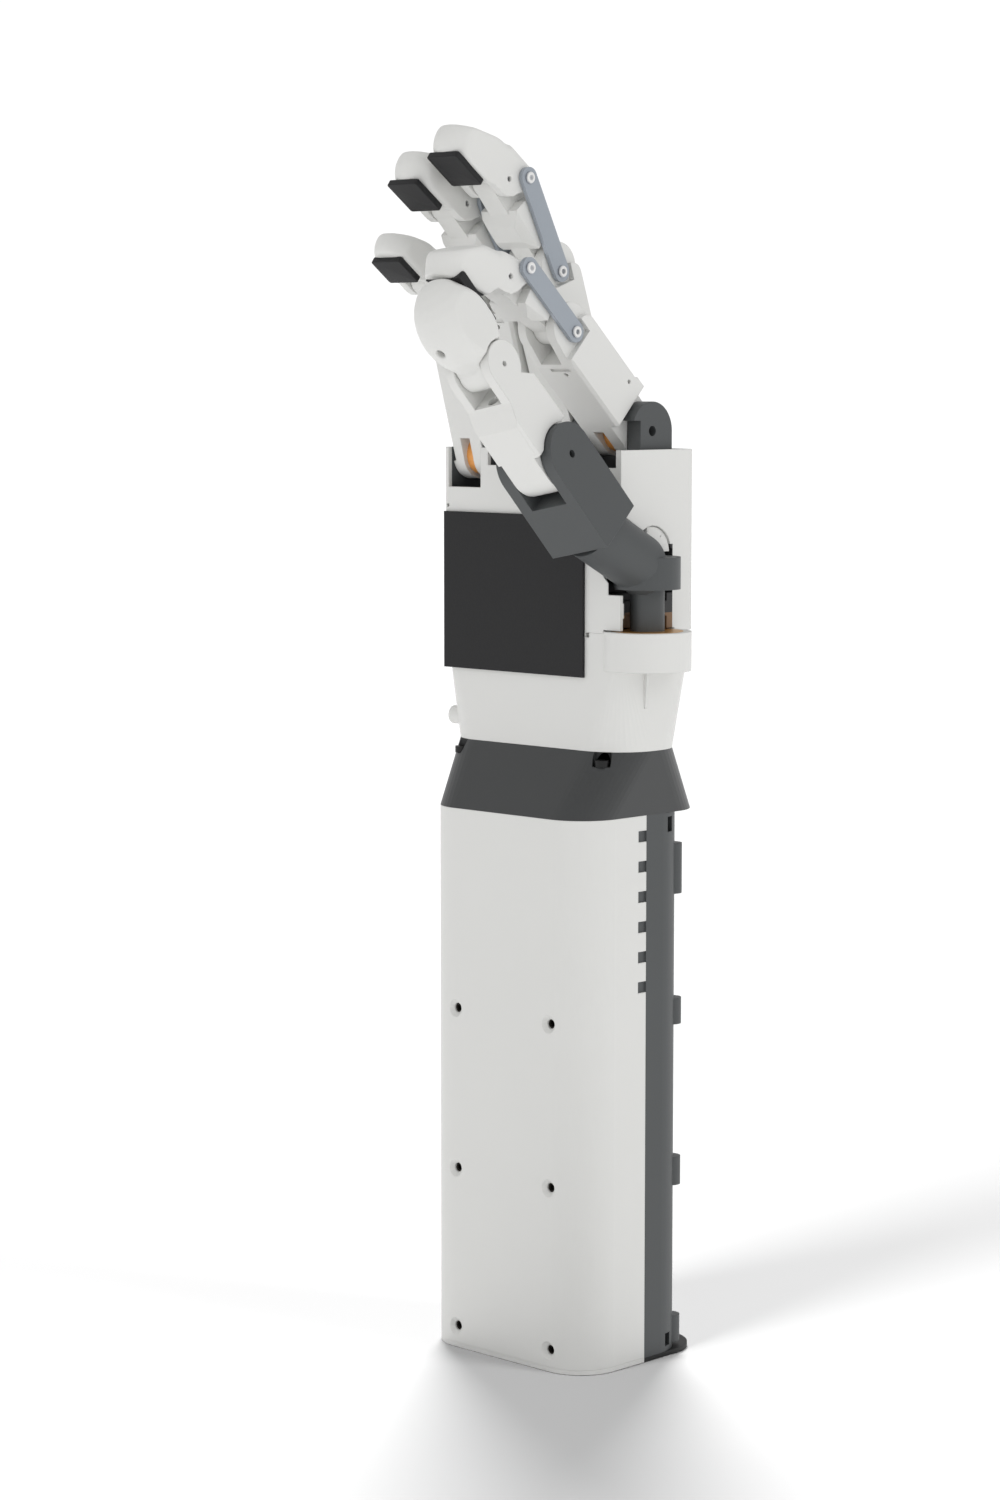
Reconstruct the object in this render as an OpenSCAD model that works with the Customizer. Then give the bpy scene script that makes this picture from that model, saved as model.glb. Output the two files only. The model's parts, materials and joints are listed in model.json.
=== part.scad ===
// Right robot hand on its forearm, palm facing -Y, thumb and index finger at +X.
// Millimetres, +Z runs up the forearm, origin at the middle of the base plate's underside.

/* [Forearm] */
// Forearm width across X
forearm_w = 75; // [60:0.5:100]
// Forearm depth across Y
forearm_d = 61.5; // [50:0.5:90]
// Corner radius of the forearm outline
forearm_r = 15; // [4:0.5:20]
// Height of the forearm's top edge
forearm_h = 185.4; // [120:0.2:260]
// Base plate thickness
plate_t = 1.5; // [1:0.1:4]
// Wall of the front shell
shell_wall = 2; // [1.2:0.1:3]
// Y of the joint between front shell and rear frame
split_y = -0.35; // [-5:0.05:5]
// Y of the rear frame's back face
frame_back_y = 23; // [18:0.5:30]
// Wall of the rear frame
frame_wall = 3; // [2:0.1:4]
// Distance of the shell screws from the start of the rounded corner
shell_screw_in = 0.8; // [0.5:0.1:6]
// Height of the lowest shell screw row
shell_screw_z = 7.1; // [5:0.1:20]
// Spacing of the shell screw rows
shell_screw_pitch = 55.05; // [40:0.05:60]
// Number of shell screw rows
shell_screw_rows = 3; // [2:1:3]
// Shell screw hole radius
shell_hole_r = 1.6; // [1:0.05:2.5]
// Countersink radius of a shell screw
shell_sink_r = 3; // [2:0.05:4]
// Radius of the screw posts
post_r = 4.2; // [3.5:0.1:6]
// Outer radius of a threaded insert
insert_r = 2.3; // [1.8:0.05:3]
// Tapped radius of a threaded insert
insert_bore_r = 1.25; // [0.8:0.05:2]
// Length of a threaded insert
insert_l = 6; // [3:0.5:10]
// Distance of the highest edge notch below the forearm's top
notch_drop = 5; // [2:0.1:20]
// Height of one edge notch
notch_h = 3.75; // [2:0.05:6]
// Depth of one edge notch
notch_d = 3.9; // [2:0.1:6]
// Spacing of the edge notches
notch_pitch = 10.1; // [7:0.1:14]
// Number of edge notches on each side
notch_count = 6; // [1:1:10]
// How far the frame's teeth stand below the shell's face
tooth_sink = 0.6; // [0:0.1:1.5]
// Sideways place of the rear screw bosses
boss_x = 31.5; // [25:0.1:34]
// Y of the rear screw bosses
boss_y = 18.8; // [15:0.1:22]
// Radius of the rear screw bosses
boss_r = 3.6; // [2.5:0.1:5]
// Width of the motor carrier
carrier_w = 34; // [24:0.5:40]
// Thickness of the motor carrier
carrier_t = 5; // [3:0.5:8]
// Sideways place of the two motor columns
motor_x = 9.5; // [8:0.1:12]
// Radius of a motor
motor_r = 7.2; // [5:0.1:8]
// Length of a motor
motor_l = 38; // [20:1:42]
// Height of the lowest motor's underside
motor_z = 10; // [6:0.5:20]
// Radius of a tendon spool
spool_r = 6; // [3:0.1:7]
// Length of a tendon spool
spool_l = 7; // [3:0.5:10]
// Thickness of the circuit board
board_t = 1.6; // [1:0.1:2.4]
// Height of the circuit board
board_h = 130; // [60:1:150]

/* [Base plate fixing] */
// Sideways spacing of the base plate holes
base_hole_dx = 24; // [16:0.5:40]
// Distance of the front base plate holes from the plate's front edge
base_hole_front = 10.75; // [8:0.25:16]
// Distance of the rear base plate holes from the plate's rear edge
base_hole_rear = 3.75; // [3.5:0.25:8]
// Base plate hole radius
base_hole_r = 1.65; // [1.2:0.05:2.6]

/* [Wrist collar] */
// Height of the collar
collar_h = 21.8; // [12:0.1:30]
// Width of the collar's top
collar_top_w = 83; // [70:0.5:95]
// Depth of the collar's top
collar_top_d = 34.7; // [28:0.1:50]
// Corner radius of the collar's top
collar_top_r = 15.6; // [5:0.1:17]
// Wall of the collar
collar_wall = 3; // [2:0.1:5]
// Thickness of the collar's floor
collar_floor = 2.5; // [1.5:0.1:5]
// Distance of the collar screws outside the corner's rounding
collar_screw_out = 0.6; // [0:0.1:1.5]
// Direction of the front collar screws from the corner's middle
collar_screw_turn = 66.4; // [40:0.1:90]
// Direction of the rear collar screws from the corner's middle
rear_screw_turn = 88; // [40:0.1:90]
// Radius of the collar screw pockets
collar_pocket_r = 3.2; // [2.2:0.1:4]
// Depth of the collar screw pockets
collar_pocket_h = 4.8; // [3:0.1:8]

/* [Palm] */
// Sideways place of the palm's thumb side
palm_x1 = 41; // [36:0.1:50]
// Sideways place of the palm's other side
palm_x0 = -39.2; // [-50:0.1:-38.8]
// Half depth of the palm
palm_y = 17.35; // [14:0.05:22]
// Height of the palm's flare above the collar
flare_h = 32.8; // [20:0.1:36]
// Height of the palm base
palm_base_h = 39.1; // [36:0.1:45]
// Height of the palm body
palm_body_h = 59.7; // [56:0.1:70]
// Drop of the palm's front wall below its side walls
front_drop = 5.8; // [0:0.1:8]
// Wall of the palm
palm_wall = 2.2; // [1.5:0.1:3]
// Depth of the knuckle bay
bay_depth = 18; // [14:0.1:20]
// Depth of the little finger's slot
slot_depth = 13.4; // [10:0.1:14]
// Distance of the palm pad's lower edge below the palm seam
pad_drop = 14.9; // [8:0.1:20]
// Height of the palm pad
pad_h = 52.9; // [40:0.1:56]
// Palm pad's outer side
pad_x0 = -39.3; // [-45:0.1:-35]
// Palm pad's thumb side
pad_x1 = 25.2; // [15:0.1:27]
// Palm pad thickness
pad_t = 1; // [0.6:0.1:2.5]
// Radius of the round stub on the outer side
stub_r = 3.15; // [2:0.05:5]
// How far the round stub stands out
stub_l = 2.3; // [1:0.1:6]

/* [Thumb base] */
// Sideways place of the thumb's turning axis
yaw_x = 42; // [38:0.1:46]
// Y of the thumb's turning axis
yaw_y = -5.5; // [-10:0.1:5]
// Radius of the thumb cup
cup_r = 14.55; // [12:0.05:18]
// Distance of the thumb cup's underside below the palm seam
cup_drop = 12.1; // [8:0.1:16]
// Height of the thumb cup
cup_h = 12.8; // [10:0.1:18]
// Outer radius of the thumb bearing
bearing_r = 11.9; // [9:0.05:13]
// Radius of the thumb pillar
pillar_r = 5.7; // [4:0.05:8]
// Radius of the thumb hub
hub_r = 10.9; // [8:0.1:12]
// Distance of the thumb hub above the cup's rim
hub_rise = 13.8; // [12.5:0.1:16]
// Height of the thumb hub
hub_h = 10.5; // [8:0.1:14]
// Drop of the thumb arm's middle below the hub's top
arm_drop = 4.4; // [3:0.1:6]
// Radius of the thumb arm
arm_r = 9.7; // [7:0.1:11]
// Drop of the thumb arm's flat underside below the hub
arm_flat_drop = 1.6; // [1:0.1:2.4]
// Half width of the thumb fork
fork_x = 11.6; // [9:0.1:14]
// Half depth of the thumb fork
fork_y = 10.3; // [8:0.1:12]
// Half width of the gap in the thumb fork
fork_gap = 7.25; // [5:0.05:9]
// Length of the thumb fork from its end face to its hinge
fork_l = 30.44; // [22:0.1:40]
// Depth of the fork gap below its hinge
fork_floor = 11.25; // [10:0.1:14]

/* [Thumb] */
// Distance between the thumb's two hinges
thumb_l = 37.32; // [28:0.1:50]
// Radius of the thumb's lower knob
thumb_knob_r = 10.6; // [7:0.1:10.9]
// Back face of the thumb's lower link
thumb_back = 9.2; // [8:0.1:10.5]
// Half width of the thumb's lower knob
thumb_knob_x = 6.95; // [5:0.05:8]
// Half width of the thumb's middle part
thumb_body_x = 9.1; // [7:0.1:11]
// Radius of the thumb's upper cheeks
thumb_cheek_r = 7.6; // [6:0.1:9]
// Thickness of the thumb's upper cheeks
thumb_cheek_t = 3.5; // [2:0.1:4.5]
// Half width of the thumb tip
thumb_tip_x = 9.1; // [7:0.1:10]
// Thickness of the thumb pad
thumb_pad_t = 1.3; // [0.8:0.1:2.5]
// Length of the thumb tip beyond its hinge
thumb_tip_l = 33.3; // [24:0.1:40]

/* [Knuckles] */
// Spacing of the fingers
finger_pitch = 18.57; // [16:0.01:24]
// Sideways place of the index finger
index_x = 25.35; // [20:0.05:30]
// Y of the index knuckle
index_y = 0.2; // [-8:0.1:8]
// Y of the middle knuckle
middle_y = -2.8; // [-8:0.1:8]
// Y of the ring knuckle
ring_y = -5; // [-8:0.1:8]
// Y of the little finger's knuckle
little_y = -7.2; // [-8:0.1:8]
// Height of the index knuckle above the palm's side walls
index_rise = 6; // [2:0.1:10]
// Height of the middle knuckle above the palm's side walls
middle_rise = 6; // [2:0.1:10]
// Height of the ring knuckle above the palm's side walls
ring_rise = 3.5; // [1:0.1:10]
// Height of the little finger's knuckle above the palm's side walls
little_rise = -2.5; // [-4:0.1:6]
// Radius of the knuckle cheeks
knuckle_r = 9.6; // [8.5:0.1:12]
// Radius of the knuckle pins
knuckle_pin_r = 1.7; // [1.2:0.05:2.4]
// Outer face of the index finger's outer cheek
knuckle_x1 = 38.8; // [36:0.1:39]
// Height of the notch in front of the outer cheek above the palm's side walls
knuckle_notch_h = 9.4; // [7:0.1:12]
// Depth of that notch's back face in front of the hinge
knuckle_notch_y = 5.7; // [3:0.1:7]

/* [Finger shape] */
// Half width of a finger
finger_hw = 7.25; // [6:0.05:8]
// Wide side of a lower finger link
finger_wide = 10.65; // [9:0.05:10.9]
// Palm face of a lower finger link
finger_palm = 8.2; // [6:0.1:9]
// Back face of a lower finger link
finger_back = 9; // [7:0.1:10]
// Radius of a finger's knob in the knuckle
knob_r = 8.3; // [7:0.1:9]
// Start of the wide part above the knuckle
wide_u = 10.7; // [10:0.1:13]
// Outer side of the upper cheeks
cheek_x1 = 8.7; // [7:0.05:9.5]
// Inner side of the thumb-side cheek
cheek_x2 = 5.2; // [4:0.05:6]
// Inner side of the other cheek
cheek_x3 = 3.75; // [3:0.05:5]
// Radius of the upper cheeks
cheek_r = 8; // [6:0.1:9]
// Palm to back offset of the finger's middle hinge
pip_b = 2.9; // [0:0.1:4]
// Radius of a tongue at the middle hinge
tongue_r = 6.5; // [5:0.1:7]
// Radius of a tongue at the end hinge
tip_tongue_r = 5.2; // [4:0.1:6]
// Sideways gap beside a tongue
tongue_gap = 0.3; // [0.2:0.05:0.8]
// Radius of the finger hinge pins
pin_r = 1.6; // [1:0.05:2.2]
// Cover in front of a blind pin's end
pin_cover = 1.4; // [0.8:0.1:2]
// Radius of the small hole in that cover
pin_hole_r = 0.9; // [0.5:0.05:1.4]
// Radial clearance of a pin in a moving piece
pin_clear = 0.05; // [0.01:0.01:0.1]
// Width of the window over the tendon pulley
window_w = 4.4; // [3:0.1:6]
// Radius of the tendon pulley
pulley_r = 6.8; // [5:0.1:7.5]
// Rounding along a fingertip's back edges
tip_edge_r = 3.5; // [2:0.1:6]
// Width of a fingertip pad
tip_pad_w = 13.5; // [10:0.1:15]
// Thickness of a fingertip pad
tip_pad_t = 1.8; // [1:0.1:2.5]

/* [Coupling links] */
// Width of a coupling link
link_w = 6.8; // [5:0.1:8]
// Inner face of a coupling link
link_x0 = 9; // [8.9:0.05:9.4]
// Outer face of a coupling link
link_x1 = 10.5; // [10:0.05:10.6]
// Rivet radius at the link's lower end
rivet_r = 1.3; // [0.8:0.05:1.6]
// Rivet radius at the link's upper end
upper_rivet_r = 0.8; // [0.5:0.05:1.2]
// Hole radius at the link's upper end
upper_hole_r = 1.5; // [1:0.05:2]
// Depth at which the lower rivet's blind seat ends
rivet_seat_x = 7; // [6:0.05:8]
// Rivet head radius
head_r = 1.9; // [1.5:0.05:2.4]
// Rivet head's outer face
head_x = 11; // [10.8:0.05:11.05]
// Lower rivet, distance below the middle hinge
link_a_u = -1.2; // [-4:0.1:2]
// Lower rivet, distance in front of the middle hinge
link_a_b = -2.4; // [-4:0.1:0]
// Upper rivet, distance below the end hinge
link_b_u = -5.5; // [-8:0.1:-3]
// Upper rivet, distance behind the end hinge
link_b_b = 4.9; // [3:0.1:7]

/* [Finger pose and lengths] */
// Index finger, lean from upright
index_lean = 46.8; // [0:0.5:80]
// Middle finger, lean from upright
middle_lean = 19; // [0:0.5:80]
// Ring finger, lean from upright
ring_lean = 17; // [0:0.5:80]
// Little finger, lean from upright
little_lean = 16; // [0:0.5:80]
// Index finger, bend of the middle hinge
index_bend = 16.4; // [0:0.1:80]
// Middle finger, bend of the middle hinge
middle_bend = 23.1; // [0:0.1:80]
// Ring finger, bend of the middle hinge
ring_bend = 28.7; // [0:0.1:80]
// Little finger, bend of the middle hinge
little_bend = 28; // [0:0.1:80]
// Index finger, bend of the end hinge
index_curl = 6.6; // [0:0.1:60]
// Middle finger, bend of the end hinge
middle_curl = 11.4; // [0:0.1:60]
// Ring finger, bend of the end hinge
ring_curl = 8.3; // [0:0.1:60]
// Little finger, bend of the end hinge
little_curl = 9; // [0:0.1:60]
// Index finger, knuckle to middle hinge
index_l1 = 47.3; // [35:0.1:60]
// Middle finger, knuckle to middle hinge
middle_l1 = 55.7; // [35:0.1:65]
// Ring finger, knuckle to middle hinge
ring_l1 = 52.5; // [35:0.1:60]
// Little finger, knuckle to middle hinge
little_l1 = 40; // [32:0.1:50]
// Index finger, middle hinge to end hinge
index_l2 = 32.3; // [26:0.1:42]
// Middle finger, middle hinge to end hinge
middle_l2 = 36.4; // [26:0.1:42]
// Ring finger, middle hinge to end hinge
ring_l2 = 35.6; // [26:0.1:42]
// Little finger, middle hinge to end hinge
little_l2 = 27; // [25:0.1:40]

/* [Hidden] */
$fn = 48;
eps = 0.01;
big = 60;
white = [0.82, 0.82, 0.80];
dark = [0.36, 0.37, 0.38];
black = [0.20, 0.20, 0.21];
steel = [0.62, 0.64, 0.68];
orange = [0.88, 0.58, 0.25];
board = [0.10, 0.30, 0.20];
shell_in_y = forearm_d / 2 - shell_wall;
shell_screw_x = forearm_w / 2 - forearm_r - shell_screw_in;
notch_top_z = forearm_h - notch_drop;
motor_pitch = (forearm_h - 23.4) / 3;
base_hole_dy = forearm_d - base_hole_front - base_hole_rear;
base_hole_y = (base_hole_front - base_hole_rear) / 2;
collar_top_z = forearm_h + collar_h;
flare_z = collar_top_z + flare_h;
seam_z = collar_top_z + palm_base_h;
palm_top_z = seam_z + palm_body_h;
front_top_z = palm_top_z - front_drop;
bay_z = palm_top_z - bay_depth;
slot_z = palm_top_z - slot_depth;
pad_z0 = seam_z - pad_drop;
pad_z1 = pad_z0 + pad_h;
cup_z0 = seam_z - cup_drop;
cup_z1 = cup_z0 + cup_h;
hub_z0 = cup_z1 + hub_rise;
hub_z1 = hub_z0 + hub_h;
arm_z = hub_z1 - arm_drop;
arm_flat_z = hub_z0 - arm_flat_drop;
index_z = palm_top_z + index_rise;
middle_z = palm_top_z + middle_rise;
ring_z = palm_top_z + ring_rise;
little_z = palm_top_z + little_rise;
knuckle_notch_z = palm_top_z + knuckle_notch_h;
frame_in_y = frame_back_y - frame_wall;
frame_r = forearm_r;
fx = [index_x, index_x - finger_pitch, index_x - 2 * finger_pitch, index_x - 3 * finger_pitch];
fy = [index_y, middle_y, ring_y, little_y];
fz = [index_z, middle_z, ring_z, little_z];
lean = [index_lean, middle_lean, ring_lean, little_lean];
bend = [index_bend, middle_bend, ring_bend, little_bend];
curl = [index_curl, middle_curl, ring_curl, little_curl];
l1 = [index_l1, middle_l1, ring_l1, little_l1];
l2 = [index_l2, middle_l2, ring_l2, little_l2];
// fingertips: back face at four heights, length, and the dome's middle, radius and height
tip_back = [[7.2, 6.5, 5.9, 2.6], [10.4, 9.9, 7.6, 5.1], [9.6, 9, 8.4, 5.6], [6.8, 5.8, 4.9, 2.4]];
tip_len = [26.7, 26.4, 25.2, 24.5];
tip_axis = [-3.2, 0.2, 0.3, -1.1];
tip_r = [10.6, 10.6, 9.8, 9.1];
tip_dome = [14.8, 12.9, 11.9, 8.7];
pad_u0 = [7.8, 7.8, 7.5, 8.4];
pad_u1 = [21.6, 22.5, 21.5, 19.6];
belly_u0 = [15.4, 16, 16, 13];
belly_u1 = [18, 21.9, 21, 14.5];
knuckle_gap = 0.3;
// radius and relative height of the egg-shaped thumb tip
thumb_tip_profile = [[0, 0.045], [6.6, 0.045], [8.2, 0.12], [10.4, 0.24], [11.5, 0.345],
    [12, 0.45], [11.9, 0.555], [11.2, 0.66], [9.9, 0.765], [8, 0.855], [5.6, 0.93], [3, 0.98],
    [0, 1]];
rib_y = pip_b + link_a_b + 4.5;
tip_mid = (cheek_x1 - finger_hw) / 2;
rib_r = finger_back - rib_y;
cheek_in = finger_hw + knuckle_gap;
cheek_out = finger_pitch - cheek_in;
thumb_turn = [38.51, -10.98, 3.31];
hinge_x = 37.46;
hinge_y = -49.38;
hinge_z = seam_z + 57.08;
arm_dx = -1.1;
arm_dy = -24.7;
arm_dz = 13.1;
arm_l = sqrt(arm_dx * arm_dx + arm_dy * arm_dy + arm_dz * arm_dz);
arm_tilt = acos(arm_dz / arm_l);
arm_turn = atan2(arm_dy, arm_dx);

// ---- shared shapes ----

// Upright column with round corners, standing on z = 0
module column(w, d, r, h) {
    translate([-w / 2 + r, -d / 2, 0]) cube([w - 2 * r, d, h]);
    translate([-w / 2, -d / 2 + r, 0]) cube([w, d - 2 * r, h]);
    for (sx = [-1, 1], sy = [-1, 1])
        translate([sx * (w / 2 - r), sy * (d / 2 - r), 0]) cylinder(r = r, h = h);
}

// Box given by its two corners
module block(a, b) {
    translate(a) cube([b[0] - a[0], b[1] - a[1], b[2] - a[2]]);
}

// Cylinder along X between x0 and x1
module bar_x(x0, x1, r) {
    translate([x0, 0, 0]) rotate([0, 90, 0]) cylinder(r = r, h = x1 - x0);
}

// Cylinder along Y between y0 and y1
module bar_y(y0, y1, r) {
    translate([0, y0, 0]) rotate([-90, 0, 0]) cylinder(r = r, h = y1 - y0);
}

// Side profile in Y and Z, drawn out along X
module slab_x(x0, x1, points) {
    translate([x0, 0, 0]) rotate([90, 0, 90]) linear_extrude(height = x1 - x0) polygon(points);
}

// Front profile in X and Z, drawn out along Y
module slab_y(y0, y1, points) {
    translate([0, y1, 0]) rotate([90, 0, 0]) linear_extrude(height = y1 - y0) polygon(points);
}

// ---- forearm ----

module base_plate() color(black) difference() {
    column(forearm_w, forearm_d, forearm_r, plate_t);
    for (sx = [-1, 1], sy = [-1, 1])
        translate([sx * base_hole_dx / 2, base_hole_y + sy * base_hole_dy / 2, -1])
            cylinder(r = base_hole_r, h = plate_t + 2);
}

// Places its child at every shell screw, looking along +Y from the shell's front face
module at_shell_screws() {
    for (sx = [-1, 1], row = [0 : shell_screw_rows - 1])
        translate([sx * shell_screw_x, -forearm_d / 2, shell_screw_z + row * shell_screw_pitch])
            children();
}

// The notches along the shell's edges, widened by the given amount
module edge_notches(depth, sink) {
    for (sx = [-1, 1], k = [0 : notch_count - 1])
        translate([0, 0, notch_top_z - notch_h - k * notch_pitch])
            block([sx > 0 ? forearm_w / 2 - frame_wall : -forearm_w / 2 + sink, split_y - depth, 0],
                [sx > 0 ? forearm_w / 2 - sink : -forearm_w / 2 + frame_wall, split_y + eps, notch_h]);
}

module forearm_shell() color(white) difference() {
    translate([0, 0, plate_t]) column(forearm_w, forearm_d, forearm_r, forearm_h - plate_t);
    translate([0, 0, 0]) column(forearm_w - 2 * shell_wall, forearm_d - 2 * shell_wall,
        forearm_r - shell_wall, forearm_h + 1);
    block([-big, split_y, 0], [big, big, forearm_h + 1]);
    edge_notches(notch_d, -1);
    at_shell_screws() {
        bar_y(-1, shell_wall + 1, shell_hole_r);
        translate([0, -eps, 0]) rotate([-90, 0, 0])
            cylinder(r1 = shell_sink_r, r2 = shell_hole_r, h = shell_sink_r - shell_hole_r);
    }
}

module forearm_frame() color(dark) difference() {
    union() {
        difference() {
            translate([0, (frame_back_y - forearm_d / 2) / 2, plate_t])
                column(forearm_w, frame_back_y + forearm_d / 2, frame_r, forearm_h - plate_t);
            translate([0, (frame_in_y - forearm_d / 2) / 2, 0])
                column(forearm_w - 2 * frame_wall, frame_in_y + forearm_d / 2,
                    frame_r - frame_wall, forearm_h + 1);
            block([-big, -big, 0], [big, split_y, forearm_h + 1]);
        }
        difference() {
            edge_notches(notch_d, tooth_sink);
            block([-forearm_w / 2 + shell_wall + 2, -big, 0],
                [forearm_w / 2 - shell_wall - 2, big, forearm_h]);
        }
        // inner lip that carries the teeth
        for (sx = [-1, 1])
            block([sx > 0 ? forearm_w / 2 - shell_wall - 2 : -forearm_w / 2 + shell_wall,
                    split_y - notch_d - 1, plate_t],
                [sx > 0 ? forearm_w / 2 - shell_wall : -forearm_w / 2 + shell_wall + 2,
                    split_y + 1, forearm_h]);
        // screw posts from the rear wall to the shell
        intersection() {
            at_shell_screws() bar_y(0, forearm_d / 2 + frame_in_y + 1, post_r);
            column(forearm_w - 2 * shell_wall, forearm_d - 2 * shell_wall,
                forearm_r - shell_wall, forearm_h);
        }
        // rails that hold the circuit board
        for (sx = [-1, 1])
            block([sx > 0 ? carrier_w / 2 + 0.2 : -carrier_w / 2 - 2.4, -17.5, 12],
                [sx > 0 ? carrier_w / 2 + 2.4 : -carrier_w / 2 - 0.2, -13, 12 + board_h]);
        // rear screw bosses
        for (sx = [-1, 1], span = [[forearm_h - 28.4, 17],
                [forearm_h * 0.607, 8.9], [forearm_h * 0.309, 9.7], [plate_t + 1.3, 9.2]])
            translate([sx * boss_x, boss_y, span[0]]) cylinder(r = boss_r, h = span[1]);
    }
    block([-big, -big, 0], [big, big, plate_t]);
    at_shell_screws() bar_y(shell_wall - 1, shell_wall + insert_l, insert_r);
    at_shell_screws() bar_y(shell_wall - 1, shell_wall + insert_l + 4, insert_bore_r);
    // cable slots near the top and the foot
    for (sx = [-1, 1]) {
        block([sx * forearm_w / 2 - 4, 10.4, forearm_h - 6.6],
            [sx * forearm_w / 2 + 4, 13.5, forearm_h - 1.5]);
        block([sx * forearm_w / 2 - 4, 10.4, 3.2], [sx * forearm_w / 2 + 4, 13.5, 7.7]);
    }
}

module shell_inserts() color(orange) difference() {
    at_shell_screws() bar_y(shell_wall + 0.15, shell_wall + insert_l, insert_r);
    at_shell_screws() bar_y(shell_wall - 1, shell_wall + insert_l + 1, insert_bore_r);
}

// Places its child at the foot of every motor
module at_motors() {
    for (sx = [-1, 1], k = [0 : 2])
        translate([sx * motor_x, frame_in_y - carrier_t - motor_r + 1, motor_z + k * motor_pitch])
            children();
}

module motor_carrier() color(dark) difference() {
    block([-carrier_w / 2, frame_in_y - carrier_t, 8], [carrier_w / 2, frame_in_y, forearm_h - 13.4]);
    at_motors() translate([0, 0, 0]) cylinder(r = motor_r, h = motor_l);
    at_motors() translate([0, 0, motor_l - 1]) cylinder(r = motor_r, h = spool_l + 4);
}

module motors() {
    color(steel) at_motors() cylinder(r = motor_r, h = motor_l);
    color(orange) at_motors() translate([0, 0, motor_l]) cylinder(r = spool_r, h = spool_l);
}

module driver_board() {
    color(board) block([-carrier_w / 2 - 0.2, -16, 14],
        [carrier_w / 2 + 0.2, -16 + board_t, 10 + board_h]);
    color(black) for (k = [0 : 3])
        block([-8, -16 - 1.4, 24 + k * 30], [8, -16, 34 + k * 30]);
}

// ---- wrist ----

module collar_loft(grow, z0, z1) hull() {
    translate([0, 0, z0]) column(forearm_w + grow, forearm_d + grow, forearm_r + grow / 2, eps);
    translate([0, 0, z1 - eps]) column(collar_top_w + grow, collar_top_d + grow,
        collar_top_r + grow / 2, eps);
}

// Places its child at the four collar screws
module at_collar_screws() {
    for (sx = [-1, 1], sy = [-1, 1]) {
        turn = sy < 0 ? collar_screw_turn : rear_screw_turn;
        reach = collar_top_r + collar_screw_out;
        translate([sx * (collar_top_w / 2 - collar_top_r + reach * cos(turn)),
                sy * (collar_top_d / 2 - collar_top_r + reach * sin(turn)),
                collar_top_z - collar_pocket_h])
            children();
    }
}

module wrist_collar() color(dark) difference() {
    collar_loft(0, forearm_h, collar_top_z);
    difference() {
        collar_loft(-2 * collar_wall, forearm_h - 0.5, collar_top_z + 0.5);
        block([-big, -big, 0], [big, big, forearm_h + collar_floor]);
    }
    block([-24, -20, forearm_h - 1], [24, 16, forearm_h + collar_floor + 1]);
    at_collar_screws() cylinder(r = collar_pocket_r, h = 20);
}

module collar_screws() color(black) at_collar_screws() difference() {
    cylinder(r = 2.4, h = 2.2);
    translate([0, 0, 1]) cylinder(r = 1.2, h = 3, $fn = 6);
}

// ---- palm ----

module palm_loft(grow, z0, z1) hull() {
    translate([0, 0, z0]) column(collar_top_w + grow, collar_top_d + grow,
        collar_top_r + grow / 2, eps);
    translate([(palm_x0 + palm_x1) / 2, 0, flare_z])
        column(palm_x1 - palm_x0 + grow, 2 * palm_y + grow, 2, z1 - flare_z);
}

module palm_base() color(white) difference() {
    union() {
        palm_loft(0, collar_top_z, seam_z);
        translate([yaw_x, yaw_y, cup_z0]) cylinder(r = cup_r, h = cup_z1 - cup_z0);
        translate([palm_x0 - stub_l, -11, collar_top_z + 7.2]) bar_x(0, 8, stub_r);
        // rib under the thumb cup
        slab_y(yaw_y - 0.5, yaw_y + 0.5, [[palm_x1 - 0.6, cup_z0 - 13.2], [palm_x1 + 0.7, cup_z0 - 12.6],
            [palm_x1 + 1.6, cup_z0 + 0.5], [palm_x1 - 0.6, cup_z0 + 0.5]]);
    }
    difference() {
        palm_loft(-2 * palm_wall, collar_top_z - 0.5, seam_z + 1);
        translate([yaw_x, yaw_y, cup_z0 - 1]) cylinder(r = cup_r, h = 30);
    }
    translate([yaw_x, yaw_y, cup_z0 + 3]) cylinder(r = bearing_r, h = 30);
    // cable outlet beside the pad
    block([pad_x1 + 0.1, -palm_y - 1, seam_z - 1.6], [pad_x1 + 1.9, -palm_y + 6, seam_z + 1]);
}

// Cuts round the thumb's turning axis
module thumb_pocket() {
    translate([yaw_x, yaw_y, seam_z - 1]) cylinder(r = cup_r, h = cup_z1 + 0.4 - seam_z + 1);
    translate([yaw_x, yaw_y, seam_z - 1]) cylinder(r = 10.7, h = 6.2);
    translate([yaw_x, yaw_y, seam_z + 5.1]) cylinder(r = 9.76, h = 5.2);
    translate([yaw_x, yaw_y, seam_z + 10.1]) cylinder(r = 10.7, h = 3);
    translate([yaw_x, yaw_y, hub_z0 - 1.8]) cylinder(r = 13.4, h = hub_h + 4.1);
    translate([yaw_x, yaw_y, arm_z]) rotate([0, arm_tilt, arm_turn])
        translate([0, 0, -1]) cylinder(r = arm_r + 1.2, h = 31);
    // round relief behind the arm's end
    translate([0, yaw_y + 3.7, hub_z1 + 0.9]) bar_x(31, 60, 9);
}

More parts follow.
